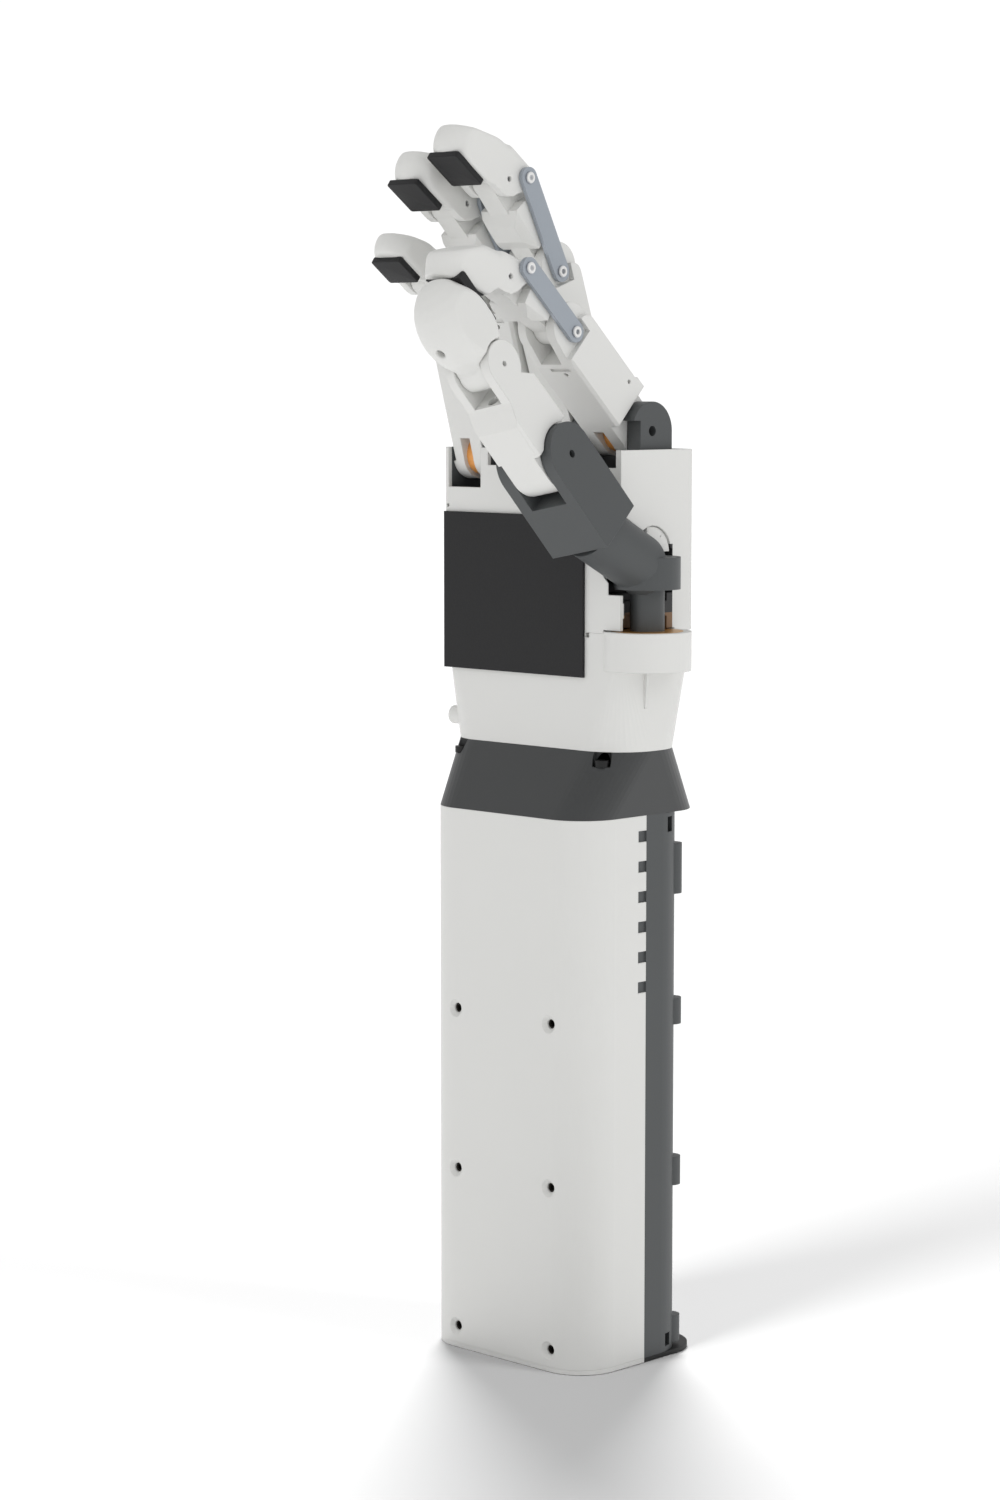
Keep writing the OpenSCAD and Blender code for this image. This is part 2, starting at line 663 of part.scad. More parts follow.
module palm_body() color(white) difference() {
    block([palm_x0, -palm_y, seam_z], [palm_x1, palm_y, palm_top_z]);
    // knuckle bay
    block([fx[3] - cheek_in, -palm_y + 1.4, bay_z], [knuckle_x1, palm_y - 1.4, palm_top_z + 1]);
    // tendon space under the bay
    block([palm_x0 + palm_wall, -palm_y + palm_wall, seam_z - 1],
        [yaw_x - 16.5, palm_y - palm_wall, bay_z - 2.5]);
    for (k = [0 : 3]) translate([fx[k], 0, bay_z - 3]) cylinder(r = 3, h = 4);
    thumb_pocket();
    // front wall openings for the fingers
    block([fx[3] - cheek_in, -palm_y - 1, slot_z], [fx[3] + cheek_in, -palm_y + 2, palm_top_z + 1]);
    block([fx[2] - cheek_in, -palm_y - 1, front_top_z], [knuckle_x1, -palm_y + 2, palm_top_z + 1]);
    // little finger's pin seat in the side wall
    translate([fx[3], fy[3], fz[3]]) bar_x(-cheek_in - 0.85, 0, knuckle_pin_r);
    translate([pad_x0 + 1, 0, pad_z1 + 2]) bar_y(-palm_y - 1, -palm_y + 2, 0.6);
}

module palm_pad() color(black)
    block([pad_x0, -palm_y - pad_t, pad_z0], [pad_x1, -palm_y, pad_z1]);

// ---- knuckles ----

// One knuckle cheek with its round top about the given hinge
module cheek(x0, x1, y, z) {
    translate([0, y, z]) bar_x(x0, x1, knuckle_r);
    block([x0, y - knuckle_r, bay_z], [x1, y + knuckle_r, z]);
}

module knuckle_frame() color(dark) difference() {
    union() {
        block([fx[3] - cheek_in, -palm_y + 1.4, bay_z], [knuckle_x1, palm_y - 1.4, bay_z + 3]);
        for (k = [1 : 3]) cheek(fx[k] + cheek_in, fx[k] + cheek_out, fy[k], fz[k]);
        cheek(fx[0] + cheek_in, knuckle_x1, fy[0], fz[0]);
        // back wall that ties the cheeks together
        block([fx[3] - cheek_in, 10.4, bay_z], [knuckle_x1, palm_y - 1.4, palm_top_z - 1.5]);
    }
    // everything in front of the front wall's inner face
    block([-big, -big, 0], [big, -palm_y + 1.4, bay_z + 60]);
    // notch in the outer cheek's front
    block([fx[0] + cheek_in - 1, -big, front_top_z + 3],
        [knuckle_x1 + 1, fy[0] - knuckle_notch_y, knuckle_notch_z]);
    for (k = [0 : 3]) translate([fx[k], fy[k], fz[k]])
        bar_x(-cheek_in - (k == 3 ? 0.85 : 1.65), k == 0 ? 20 : cheek_in + 1.65, knuckle_pin_r);
    for (k = [0 : 3]) translate([fx[k], 0, bay_z - 1]) cylinder(r = 3, h = 5);
}

module knuckle_pins() color(steel) difference() {
    for (k = [0 : 3]) translate([fx[k], fy[k], fz[k]])
        bar_x(-cheek_in - (k == 3 ? 0.8 : 1.6), k == 0 ? 10.4 : cheek_in + 1.6, knuckle_pin_r);
    // flat on the index pin's visible end
    translate([fx[0], fy[0], fz[0]]) block([8.6, -3, 0.9], [12, 3, 3]);
}

// ---- fingers ----
// In a finger's own frame X is sideways, Y is its back and Z runs along it.

module finger_frame(k) translate([fx[k], fy[k], fz[k]]) rotate([lean[k], 0, 0]) children();

module middle_frame(k) finger_frame(k) translate([0, pip_b, l1[k]]) rotate([bend[k], 0, 0])
    children();

module distal_frame(k) middle_frame(k) translate([0, 0, l2[k]]) rotate([curl[k], 0, 0]) children();

// Lower finger link, from the knuckle to the middle hinge
module proximal(k) color(white) finger_frame(k) difference() {
    union() {
        bar_x(-finger_hw, finger_hw, knob_r);
        block([-finger_hw, -finger_palm, 0], [finger_hw, knob_r, wide_u + 1]);
        slab_x(-finger_hw, finger_wide, [[-finger_palm, wide_u], [finger_back + 0.8, wide_u],
            [finger_back + 0.8, wide_u + 4.5], [finger_back, wide_u + 5.2],
            [finger_back, l1[k] + 0.3], [1.2 - cheek_r, l1[k] + 0.3],
            [-finger_palm, l1[k] - 9]]);
        translate([0, 1.2, l1[k] + 0.3]) bar_x(-finger_hw, cheek_x1, cheek_r);
    }
    // bevels on the palm side edges
    linear_extrude(height = l1[k] + 20) polygon([[-finger_hw - 1, -finger_palm + 2],
        [-finger_hw - 1, -finger_palm - 1], [-finger_hw + 2, -finger_palm - 1]]);
    translate([0, 0, wide_u]) linear_extrude(height = l1[k] + 20)
        polygon([[finger_wide + 1, -finger_palm + 2], [finger_wide + 1, -finger_palm - 1],
            [finger_wide - 2, -finger_palm - 1]]);
    // gap for the tongue of the middle link
    block([-cheek_x3, -big, l1[k] - 7.4], [cheek_x2, big, l1[k] + 20]);
    // seat for the coupling link
    block([cheek_x1, -big, l1[k] + link_a_u - 4.2], [20, rib_y, l1[k] + 20]);
    slab_x(cheek_x1, 20, [[rib_y - 4, l1[k] + 20], [rib_y - 4, l1[k] + 0.2], [rib_y, l1[k] + 0.2],
        for (a = [90 : -15 : 0]) [rib_y + rib_r * cos(a), l1[k] + 0.2 - rib_r + rib_r * sin(a)],
        [20, l1[k] + 0.2 - rib_r], [20, l1[k] + 20]]);
    // window over the tendon pulley
    block([-window_w / 2, -20, -knob_r - 1], [window_w / 2, 3, 8]);
    bar_x(-20, 20, knuckle_pin_r + pin_clear);
    translate([0, pip_b, l1[k]]) bar_x(-20, rivet_seat_x - 0.2, pin_r);
    translate([0, pip_b + link_a_b, l1[k] + link_a_u]) bar_x(rivet_seat_x, 20, rivet_r);
    translate([0, 6, 17]) bar_x(finger_wide - 3, 20, 0.7);
    translate([4.4, 0, l1[k] - 12]) bar_y(-20, -finger_palm + 3, 0.8);
    block([-1, -20, l1[k] - 10.5], [7.5, -finger_palm + 0.7, l1[k] - 9.3]);
}

// Middle finger link, from the middle hinge to the end hinge
module middle(k) color(white) middle_frame(k) difference() {
    union() {
        bar_x(-cheek_x3 + tongue_gap, cheek_x2 - tongue_gap, tongue_r);
        block([-cheek_x3 + tongue_gap, -5, 0], [cheek_x2 - tongue_gap, 5.6, l2[k]]);
        translate([0, 0, l2[k]]) bar_x(-cheek_x3 + tongue_gap, cheek_x2 - tongue_gap, tip_tongue_r);
        slab_x(-finger_hw, cheek_x1, [[-4.6, 11.2], [-7, belly_u0[k]], [-7, belly_u1[k]],
            [-4.4, l2[k] - 9.3], [0.5, l2[k] - 9.6], [5.8, l2[k] - 11.5], [5.6, 11.2]]);
    }
    // bevels on the palm side edges
    linear_extrude(height = l2[k]) polygon([[-finger_hw - 1, -4.6], [-finger_hw - 1, -8],
        [-finger_hw + 2.4, -8]]);
    linear_extrude(height = l2[k]) polygon([[cheek_x1 + 1, -3.6], [cheek_x1 + 1, -8],
        [cheek_x1 - 3.4, -8]]);
    // the tongue's ends stay clear of the neighbours
    block([-20, 5.2, l2[k] - 8], [20, 20, l2[k] + 20]);
    bar_x(-20, 20, pin_r + pin_clear);
    translate([0, 0, l2[k]]) bar_x(-20, 20, pin_r + pin_clear);
}

// End finger link with its rounded tip
module distal(k) color(white) distal_frame(k) difference() {
    back = tip_back[k];
    intersection() {
        slab_x(-finger_hw, cheek_x1, [[back[0] - 1.4, -8.4], [back[0] - 0.4, -7.2], [back[0], -5],
            [back[0], 1], [back[1], 6.4], [back[2], 12], [back[3], 18],
            [3 * back[3] - 2 * back[2], 30], [-6.9, 30], [-6.9, 7], [-5.6, 4], [-5.6, 0],
            [-5.2, -2.2], [-3.2, -4.8], [-0.6, -6.4], [1.8, -8.6], [4, -9.4]]);
        // rounded back
        union() {
            block([-finger_hw, -20, -12], [cheek_x1, back[0] - tip_edge_r, 40]);
            block([-finger_hw + tip_edge_r, -20, -12], [cheek_x1 - tip_edge_r, 20, 40]);
            for (x = [-finger_hw + tip_edge_r, cheek_x1 - tip_edge_r])
                translate([x, back[0] - tip_edge_r, -12]) cylinder(r = tip_edge_r, h = 52);
        }
        // domed tip
        translate([tip_mid, tip_axis[k], 0]) rotate_extrude() polygon([[0, -12], [17, -12], [17, 0],
            [tip_r[k], 6], for (a = [0 : 10 : 90]) [tip_r[k] * cos(a),
                tip_len[k] - tip_dome[k] + tip_dome[k] * sin(a)]]);
    }
    // gap for the tongue of the middle link
    block([-cheek_x3, -20, -20], [cheek_x2, 6.8, tip_tongue_r + 0.5]);
    bar_x(-20, cheek_x1 - pin_cover, pin_r);
    bar_x(0, 20, pin_hole_r);
    translate([0, link_b_b, link_b_u]) bar_x(cheek_x2 - 1, 20, upper_rivet_r);
}

module tip_pad(k) color(black) distal_frame(k)
    translate([(cheek_x1 - finger_hw - tip_pad_w) / 2, -6.9 - tip_pad_t, pad_u0[k]])
        cube([tip_pad_w, tip_pad_t, pad_u1[k] - pad_u0[k]]);

// Coupling link from the lower finger link to the end link
module coupling(k) {
    // upper rivet seen from the lower finger link's frame
    by = pip_b - l2[k] * sin(bend[k]) + link_b_b * cos(bend[k] + curl[k])
        - link_b_u * sin(bend[k] + curl[k]);
    bz = l1[k] + l2[k] * cos(bend[k]) + link_b_u * cos(bend[k] + curl[k])
        + link_b_b * sin(bend[k] + curl[k]);
    ay = pip_b + link_a_b;
    az = l1[k] + link_a_u;
    span = sqrt((by - ay) * (by - ay) + (bz - az) * (bz - az));
    color(steel) finger_frame(k) translate([0, ay, az]) rotate([atan2(ay - by, bz - az), 0, 0])
        difference() {
            union() {
                bar_x(link_x0, link_x1, link_w / 2);
                block([link_x0, -link_w / 2, 0], [link_x1, link_w / 2, span]);
                translate([0, 0, span]) bar_x(link_x0, link_x1, link_w / 2);
            }
            bar_x(0, 20, rivet_r + pin_clear);
            translate([0, 0, span]) bar_x(0, 20, upper_hole_r);
        }
}

module pulley(k) color(orange) finger_frame(k) difference() {
    bar_x(-window_w / 2, window_w / 2, pulley_r);
    bar_x(-20, 20, knuckle_pin_r + pin_clear);
    block([-10, 3, -20], [10, 20, 20]);
}

module lower_pins(k) color(steel) finger_frame(k) {
    translate([0, pip_b, l1[k]]) bar_x(-finger_hw + 0.4, rivet_seat_x - 0.2, pin_r);
    translate([0, pip_b + link_a_b, l1[k] + link_a_u]) difference() {
        union() {
            bar_x(rivet_seat_x, head_x, rivet_r);
            bar_x(link_x1 + 0.15, head_x, head_r);
        }
        bar_x(head_x - 1, head_x + 1, 0.75);
    }
}

module upper_pins(k) color(steel) distal_frame(k) {
    bar_x(-finger_hw + 0.4, cheek_x1 - pin_cover - 0.1, pin_r);
    translate([0, link_b_b, link_b_u]) difference() {
        union() {
            bar_x(cheek_x2, head_x, upper_rivet_r);
            bar_x(link_x1 + 0.15, head_x, head_r);
        }
        bar_x(head_x - 0.3, head_x + 1, 0.5);
    }
}

// ---- thumb ----
// In the thumb's own frame X is its hinge, Y is its back and Z runs along it.

module thumb_frame() translate([hinge_x, hinge_y, hinge_z]) rotate(thumb_turn) children();

module thumb_bearing() color(orange) translate([yaw_x, yaw_y, cup_z0 + 3]) difference() {
    cylinder(r = bearing_r, h = cup_z1 - cup_z0 - 2.9);
    translate([0, 0, -1]) cylinder(r = pillar_r + pin_clear, h = 30);
}

module thumb_base() color(dark) difference() {
    union() {
        translate([yaw_x, yaw_y, cup_z0 + 3.3]) cylinder(r = pillar_r, h = arm_z - cup_z0 - 3.3);
        translate([yaw_x, yaw_y, hub_z0]) cylinder(r = hub_r, h = hub_z1 - hub_z0);
        translate([yaw_x, yaw_y, arm_z]) rotate([0, arm_tilt, arm_turn])
            cylinder(r = arm_r, h = arm_l + 2);
        thumb_frame() {
            block([-fork_x, -fork_y, -fork_l], [fork_x, fork_y, 0]);
            bar_x(-fork_x, fork_x, fork_y);
        }
    }
    // the arm ends over the turning axis
    translate([yaw_x, yaw_y, hub_z1]) rotate([0, 0, arm_turn]) block([-20, -20, 0], [0.5, 20, 20]);
    // flat underside of the arm
    difference() {
        block([yaw_x - 20, -40, arm_flat_z - 20], [yaw_x + 20, 12, arm_flat_z]);
        translate([yaw_x, yaw_y, arm_flat_z - 21]) cylinder(r = pillar_r, h = 22);
    }
    thumb_frame() {
        block([-fork_gap, -20, -fork_floor], [fork_gap, 20, 20]);
        bar_x(-20, fork_x - 2.7, knuckle_pin_r);
        bar_x(0, 20, 1.3);
    }
}

module thumb_lower_pin() color(steel) thumb_frame()
    bar_x(-fork_x + 0.6, fork_x - 2.8, knuckle_pin_r);

module thumb_upper_pin() color(steel) thumb_frame() translate([0, 0, thumb_l])
    bar_x(-thumb_body_x + 0.6, thumb_body_x - pin_cover - 0.1, pin_r);

module thumb_proximal() color(white) thumb_frame() difference() {
    union() {
        bar_x(-thumb_knob_x, thumb_knob_x, thumb_knob_r);
        block([-thumb_knob_x, -thumb_knob_r, 0], [thumb_knob_x, thumb_back, 14]);
        difference() {
            slab_x(-thumb_body_x, thumb_body_x, [[-thumb_knob_r, 7.8], [thumb_back, 8.7],
                [thumb_back - 0.6, 26.6], [3.6, 31], [3.6, thumb_l], [-thumb_cheek_r, thumb_l],
                [-thumb_cheek_r, 27.5], [-thumb_knob_r, 20]]);
            // clear of the fork's cheeks
            bar_x(-20, -thumb_knob_x, fork_y + 0.35);
            bar_x(thumb_knob_x, 20, fork_y + 0.35);
        }
        translate([0, 0, thumb_l]) bar_x(-thumb_body_x, thumb_body_x, thumb_cheek_r);
    }
    // gap for the tongue of the thumb tip
    block([-thumb_body_x + thumb_cheek_t, -20, thumb_l - 9.3],
        [thumb_body_x - thumb_cheek_t, 20, thumb_l + 20]);
    // screw hole in the floor of that gap
    translate([0.8, -4.6, thumb_l - 15]) cylinder(r = 2.2, h = 8);
    // slot for the pulley
    block([-window_w / 2, 0, -20], [window_w / 2, 20, 9]);
    // bevels on the front edges
    for (sx = [-1, 1]) linear_extrude(height = thumb_l) polygon([[sx * (thumb_body_x + 1),
        -thumb_knob_r + 2], [sx * (thumb_body_x + 1), -thumb_knob_r - 1],
        [sx * (thumb_body_x - 2), -thumb_knob_r - 1]]);
    bar_x(-20, 20, knuckle_pin_r + pin_clear);
    translate([0, 0, thumb_l]) {
        bar_x(-20, thumb_body_x - pin_cover, pin_r);
        bar_x(0, 20, pin_hole_r);
    }
}

module thumb_pulley() color(orange) thumb_frame() difference() {
    bar_x(-window_w / 2, window_w / 2, pulley_r);
    bar_x(-20, 20, knuckle_pin_r + pin_clear);
    block([-10, -20, -20], [10, 0, 20]);
}

module thumb_distal() color(white) thumb_frame() translate([0, 0, thumb_l]) difference() {
    union() {
        difference() {
            intersection() {
                translate([0, 0.8, 0]) rotate_extrude()
                    polygon([for (q = thumb_tip_profile) [q[0], q[1] * thumb_tip_l]]);
                block([-thumb_tip_x, -20, 0], [thumb_tip_x, 8.6, 40]);
            }
            // clear of the lower link's cheeks
            bar_x(-20, -thumb_body_x + thumb_cheek_t + tongue_gap, thumb_cheek_r + 0.35);
            bar_x(thumb_body_x - thumb_cheek_t - tongue_gap, 20, thumb_cheek_r + 0.35);
        }
        bar_x(-thumb_body_x + thumb_cheek_t + tongue_gap,
            thumb_body_x - thumb_cheek_t - tongue_gap, 6.4);
        block([-thumb_body_x + thumb_cheek_t + tongue_gap, -6, 0],
            [thumb_body_x - thumb_cheek_t - tongue_gap, 6, 10]);
    }
    bar_x(-20, 20, pin_r + pin_clear);
    // recessed hole on the front
    translate([-1.2, 0, 14.7]) bar_y(-20, -6, 1.6);
}

module thumb_pad() color(black) thumb_frame() translate([0, 0, thumb_l])
    block([-tip_pad_w / 2, 8.6, 9.7], [tip_pad_w / 2, 8.6 + thumb_pad_t, 26.5]);

// ---- the sub-parts ----

module index_proximal() proximal(0);
module index_middle() middle(0);
module index_distal() distal(0);
module index_pad() tip_pad(0);
module index_link() coupling(0);
module index_pulley() pulley(0);
module index_lower_pins() lower_pins(0);
module index_upper_pins() upper_pins(0);
module middle_proximal() proximal(1);
module middle_middle() middle(1);
module middle_distal() distal(1);
module middle_pad() tip_pad(1);
module middle_link() coupling(1);
module middle_pulley() pulley(1);
module middle_lower_pins() lower_pins(1);
module middle_upper_pins() upper_pins(1);
module ring_proximal() proximal(2);
module ring_middle() middle(2);
module ring_distal() distal(2);
module ring_pad() tip_pad(2);
module ring_link() coupling(2);
module ring_pulley() pulley(2);
module ring_lower_pins() lower_pins(2);
module ring_upper_pins() upper_pins(2);
module little_proximal() proximal(3);
module little_middle() middle(3);
module little_distal() distal(3);
module little_pad() tip_pad(3);
module little_link() coupling(3);
module little_pulley() pulley(3);
module little_lower_pins() lower_pins(3);
module little_upper_pins() upper_pins(3);

base_plate();
forearm_shell();
forearm_frame();
shell_inserts();
motor_carrier();
motors();
driver_board();
wrist_collar();
collar_screws();
palm_base();
palm_body();
palm_pad();
knuckle_frame();
knuckle_pins();
thumb_bearing();
thumb_base();
thumb_lower_pin();
thumb_proximal();
thumb_upper_pin();
thumb_distal();
thumb_pad();
thumb_pulley();
index_proximal();
index_middle();
index_distal();
index_pad();
index_link();
index_pulley();
index_lower_pins();
index_upper_pins();
middle_proximal();
middle_middle();
middle_distal();
middle_pad();
middle_link();
middle_pulley();
middle_lower_pins();
middle_upper_pins();
ring_proximal();
ring_middle();
ring_distal();
ring_pad();
ring_link();
ring_pulley();
ring_lower_pins();
ring_upper_pins();
little_proximal();
little_middle();
little_distal();
little_pad();
little_link();
little_pulley();
little_lower_pins();
little_upper_pins();
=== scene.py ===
"""Robot hand on its forearm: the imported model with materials, small parts, floor, light and camera."""
import json
import math

import bpy
import bmesh
from mathutils import Matrix, Vector


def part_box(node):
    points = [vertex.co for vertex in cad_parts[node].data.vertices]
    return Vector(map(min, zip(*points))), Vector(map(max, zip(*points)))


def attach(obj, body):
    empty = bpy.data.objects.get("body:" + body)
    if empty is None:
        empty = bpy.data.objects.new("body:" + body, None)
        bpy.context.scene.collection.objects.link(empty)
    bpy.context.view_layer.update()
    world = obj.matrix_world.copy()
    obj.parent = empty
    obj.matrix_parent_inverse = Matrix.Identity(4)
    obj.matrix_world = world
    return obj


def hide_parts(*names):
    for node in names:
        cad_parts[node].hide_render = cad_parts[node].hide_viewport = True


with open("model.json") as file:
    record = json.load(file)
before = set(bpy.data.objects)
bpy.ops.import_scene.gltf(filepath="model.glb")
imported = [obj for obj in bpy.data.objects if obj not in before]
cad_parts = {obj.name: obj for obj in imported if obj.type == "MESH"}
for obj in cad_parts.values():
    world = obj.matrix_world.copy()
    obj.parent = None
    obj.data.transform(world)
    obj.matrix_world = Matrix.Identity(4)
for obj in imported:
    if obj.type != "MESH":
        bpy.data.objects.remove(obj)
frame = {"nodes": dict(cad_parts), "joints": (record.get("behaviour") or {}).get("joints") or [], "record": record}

NODES = frame["nodes"]
SCENE = bpy.context.scene
MM = 0.001
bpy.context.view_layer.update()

# Colours are linear, as the shaders read them.
WHITE = (0.725, 0.725, 0.706, 1)
EYELET_WHITE = (0.80, 0.80, 0.79, 1)
DARK = (0.064, 0.069, 0.071, 1)
# painted shade: the collar's colour is a darker copy of DARK, darker for the shade on its flare
COLLAR_SHADE_DARK = (0.038, 0.040, 0.041, 1)
PAD_BLACK = (0.014, 0.014, 0.015, 1)
# the plate's near-total black is partly painted shade under the shell's rim
PLATE_BLACK_AND_SHADE = (0.004, 0.004, 0.004, 1)
SCREW_BLACK = (0.01, 0.01, 0.01, 1)
# painted shade: the well's near black, and the bush's brown darkened in the well's shade
WELL_SHADE_BLACK = (0.02, 0.02, 0.021, 1)
WELL_SHADED_BROWN = (0.20, 0.11, 0.05, 1)
LINK_BLUE = (0.345, 0.378, 0.42, 1)
PIN_STEEL = (0.62, 0.63, 0.65, 1)
CAN_STEEL = (0.55, 0.55, 0.57, 1)
BRASS_YELLOW = (0.62, 0.33, 0.09, 1)
# painted shade: the shell's inserts are darkened for the shade deep in their screw holes
INSERT_SHADE_BROWN = (0.045, 0.040, 0.034, 1)
ORANGE = (0.83, 0.36, 0.09, 1)
BOARD_GREEN = (0.02, 0.11, 0.05, 1)

# Wear and gloss, the same in every material: how fast a turned normal counts as an edge, how much
# of the worn colour an edge takes, how far wear lifts even black, and how far the roughness strays
# from its middle on a moulded face and along scratches.
EDGE_GAIN = 6.0
WORN_SHARE = 0.6
WORN_LIFT = 0.05
GLOSS_SPREAD = 0.06
SCRATCH_SPREAD = 0.12
LOWEST_ROUGHNESS = 0.05

# The studio: how pale the floor is and by how much that drifts, half its width and how far it lies
# below the plate in metres, how bright the room is, and how bright the backdrop shows. Each light
# has a name, its bearing from +X and its elevation in degrees, a strength, and its width in degrees.
FLOOR_TONE = 0.07
FLOOR_DRIFT = 0.01
FLOOR_HALF_SIZE = 40.0
FLOOR_DROP = 0.0002
ROOM_LIGHT = 0.74
BACKDROP_LIGHT = 1.05
OBJECT_LIGHTS = [("right_light", 4, 34, 0.26, 28)]
FLOOR_LIGHTS = [
    ("right_floor_light", 16, 30, 10.0, 20),
    ("palm_floor_light", -90, 37, 21.0, 20),
    ("rear_floor_light", 135, 44, 38.0, 26),
]

# The camera: its bearing round from the palm side and its elevation in degrees, its place in
# metres, its lens and sensor in mm.
CAMERA_BEARING = 44.362
CAMERA_ELEVATION = 6.147
CAMERA_PLACE = (0.80964, -0.85920, 0.33140)
CAMERA_LENS = 84.4
CAMERA_SENSOR = 36


def joint(name):
    """The frame's entry for a joint."""
    return next(j for j in frame["joints"] if j["name"] == name)


# ---- shader building blocks ----

def add(tree, kind, **values):
    """A node of the given kind; values set its inputs by name, with spaces written as underscores."""
    node = tree.nodes.new(kind)
    for key, value in values.items():
        node.inputs[key.replace("_", " ")].default_value = value
    return node


def feed(tree, socket, value):
    """Links a socket to another one, or sets it to a plain value."""
    if isinstance(value, bpy.types.NodeSocket):
        tree.links.new(value, socket)
    else:
        socket.default_value = value


def math_node(tree, operation, first, second):
    """The result of a maths node fed by sockets or plain numbers."""
    node = tree.nodes.new("ShaderNodeMath")
    node.operation = operation
    feed(tree, node.inputs[0], first)
    feed(tree, node.inputs[1], second)
    return node.outputs[0]


def vector_node(tree, operation, *values):
    """A vector maths node fed by sockets or plain triples."""
    node = tree.nodes.new("ShaderNodeVectorMath")
    node.operation = operation
    for socket, value in zip(node.inputs, values):
        feed(tree, socket, value)
    return node


def blend(tree, factor, first, second):
    """The colour between two, each a socket or a plain colour, set by a factor socket."""
    node = tree.nodes.new("ShaderNodeMix")
    node.data_type = "RGBA"
    feed(tree, node.inputs["Factor"], factor)
    feed(tree, node.inputs["A"], first)
    feed(tree, node.inputs["B"], second)
    return node.outputs["Result"]


def roughness_range(tree, value, rough, spread):
    """A 0 to 1 value turned into a roughness on both sides of a middle one."""
    node = tree.nodes.new("ShaderNodeMapRange")
    node.inputs["To Min"].default_value = max(LOWEST_ROUGHNESS, rough - spread)
    node.inputs["To Max"].default_value = min(1.0, rough + spread)
    tree.links.new(value, node.inputs["Value"])
    return node.outputs[0]


def new_group(name, inputs, outputs):
    """An empty node group with named sockets, and its input and output nodes."""
    tree = bpy.data.node_groups.new(name, "ShaderNodeTree")
    for in_out, sockets in (("INPUT", inputs), ("OUTPUT", outputs)):
        for socket, kind in sockets.items():
            tree.interface.new_socket(socket, in_out=in_out, socket_type="NodeSocket" + kind)
    return tree, tree.nodes.new("NodeGroupInput"), tree.nodes.new("NodeGroupOutput")


def use_group(tree, group, **values):
    """A node group placed in a material's tree with its own values."""
    node = tree.nodes.new("ShaderNodeGroup")
    node.node_tree = group
    for key, value in values.items():
        node.inputs[key].default_value = value
    return node


def edge_group():
    """Rounds every edge in the shading and gives a mask of where the edges are."""
    tree, given, out = new_group("soft_edges", {"Radius": "Float"}, {"Normal": "Vector", "Edge": "Float"})
    bevel = tree.nodes.new("ShaderNodeBevel")
    bevel.samples = 6
    tree.links.new(given.outputs["Radius"], bevel.inputs["Radius"])
    geometry = tree.nodes.new("ShaderNodeNewGeometry")
    agree = vector_node(tree, "DOT_PRODUCT", bevel.outputs[0], geometry.outputs["Normal"])
    turned = math_node(tree, "SUBTRACT", 1.0, agree.outputs["Value"])
    strong = math_node(tree, "MULTIPLY", turned, EDGE_GAIN)
    tree.links.new(bevel.outputs[0], out.inputs["Normal"])
    tree.links.new(math_node(tree, "MINIMUM", strong, 1.0), out.inputs["Edge"])
    return tree


def moulded_group():
    """Fine moulding grain as a bump, a broad tone mask and a fine speckle mask, in object space."""
    tree, given, out = new_group("moulded_grain",
                                 {"Scale": "Float", "Depth": "Float", "Normal": "Vector"},
                                 {"Normal": "Vector", "Tone": "Float", "Speckle": "Float"})
    place = tree.nodes.new("ShaderNodeTexCoord")
    fine = add(tree, "ShaderNodeTexNoise", Detail=3.0, Roughness=0.6)
    broad = add(tree, "ShaderNodeTexNoise", Scale=22.0, Detail=2.0)
    for noise in (fine, broad):
        tree.links.new(place.outputs["Object"], noise.inputs["Vector"])
    tree.links.new(given.outputs["Scale"], fine.inputs["Scale"])
    bump = add(tree, "ShaderNodeBump", Distance=0.0002)
    tree.links.new(fine.outputs["Fac"], bump.inputs["Height"])
    tree.links.new(given.outputs["Depth"], bump.inputs["Strength"])
    tree.links.new(given.outputs["Normal"], bump.inputs["Normal"])
    tree.links.new(bump.outputs[0], out.inputs["Normal"])
    tree.links.new(broad.outputs["Fac"], out.inputs["Tone"])
    tree.links.new(fine.outputs["Fac"], out.inputs["Speckle"])
    return tree


def zone_group():
    """1 inside both an upright box and an upright cylinder, 0 outside, in the object's own space."""
    tree, given, out = new_group("zone",
                                 {"Low": "Vector", "High": "Vector", "Centre": "Vector", "Radius": "Float"},
                                 {"Inside": "Float"})
    here = tree.nodes.new("ShaderNodeTexCoord").outputs["Object"]
    above = vector_node(tree, "SUBTRACT", here, given.outputs["Low"])
    below = vector_node(tree, "SUBTRACT", given.outputs["High"], here)
    least = vector_node(tree, "MINIMUM", above.outputs[0], below.outputs[0])
    sides = tree.nodes.new("ShaderNodeSeparateXYZ")
    tree.links.new(least.outputs[0], sides.inputs[0])
    depth = math_node(tree, "MINIMUM", sides.outputs[0], sides.outputs[1])
    depth = math_node(tree, "MINIMUM", depth, sides.outputs[2])
    away = vector_node(tree, "SUBTRACT", here, given.outputs["Centre"])
    flat = vector_node(tree, "MULTIPLY", away.outputs[0], (1, 1, 0))
    reach = vector_node(tree, "LENGTH", flat.outputs[0])
    short = math_node(tree, "SUBTRACT", given.outputs["Radius"], reach.outputs["Value"])
    depth = math_node(tree, "MINIMUM", depth, short)
    tree.links.new(math_node(tree, "GREATER_THAN", depth, 0.0), out.inputs["Inside"])
    return tree


EDGES = edge_group()
GRAIN = moulded_group()
ZONE = zone_group()


# ---- materials ----

def main_shader(tree):
    """The Principled BSDF of a material's tree."""
    return next(n for n in tree.nodes if n.type == "BSDF_PRINCIPLED")


def toned(colour, share, lift=0.0):
    """A colour times a share, lifted a little, and no brighter than white."""
    return [min(1, c * share + lift) for c in colour[:3]] + [1]


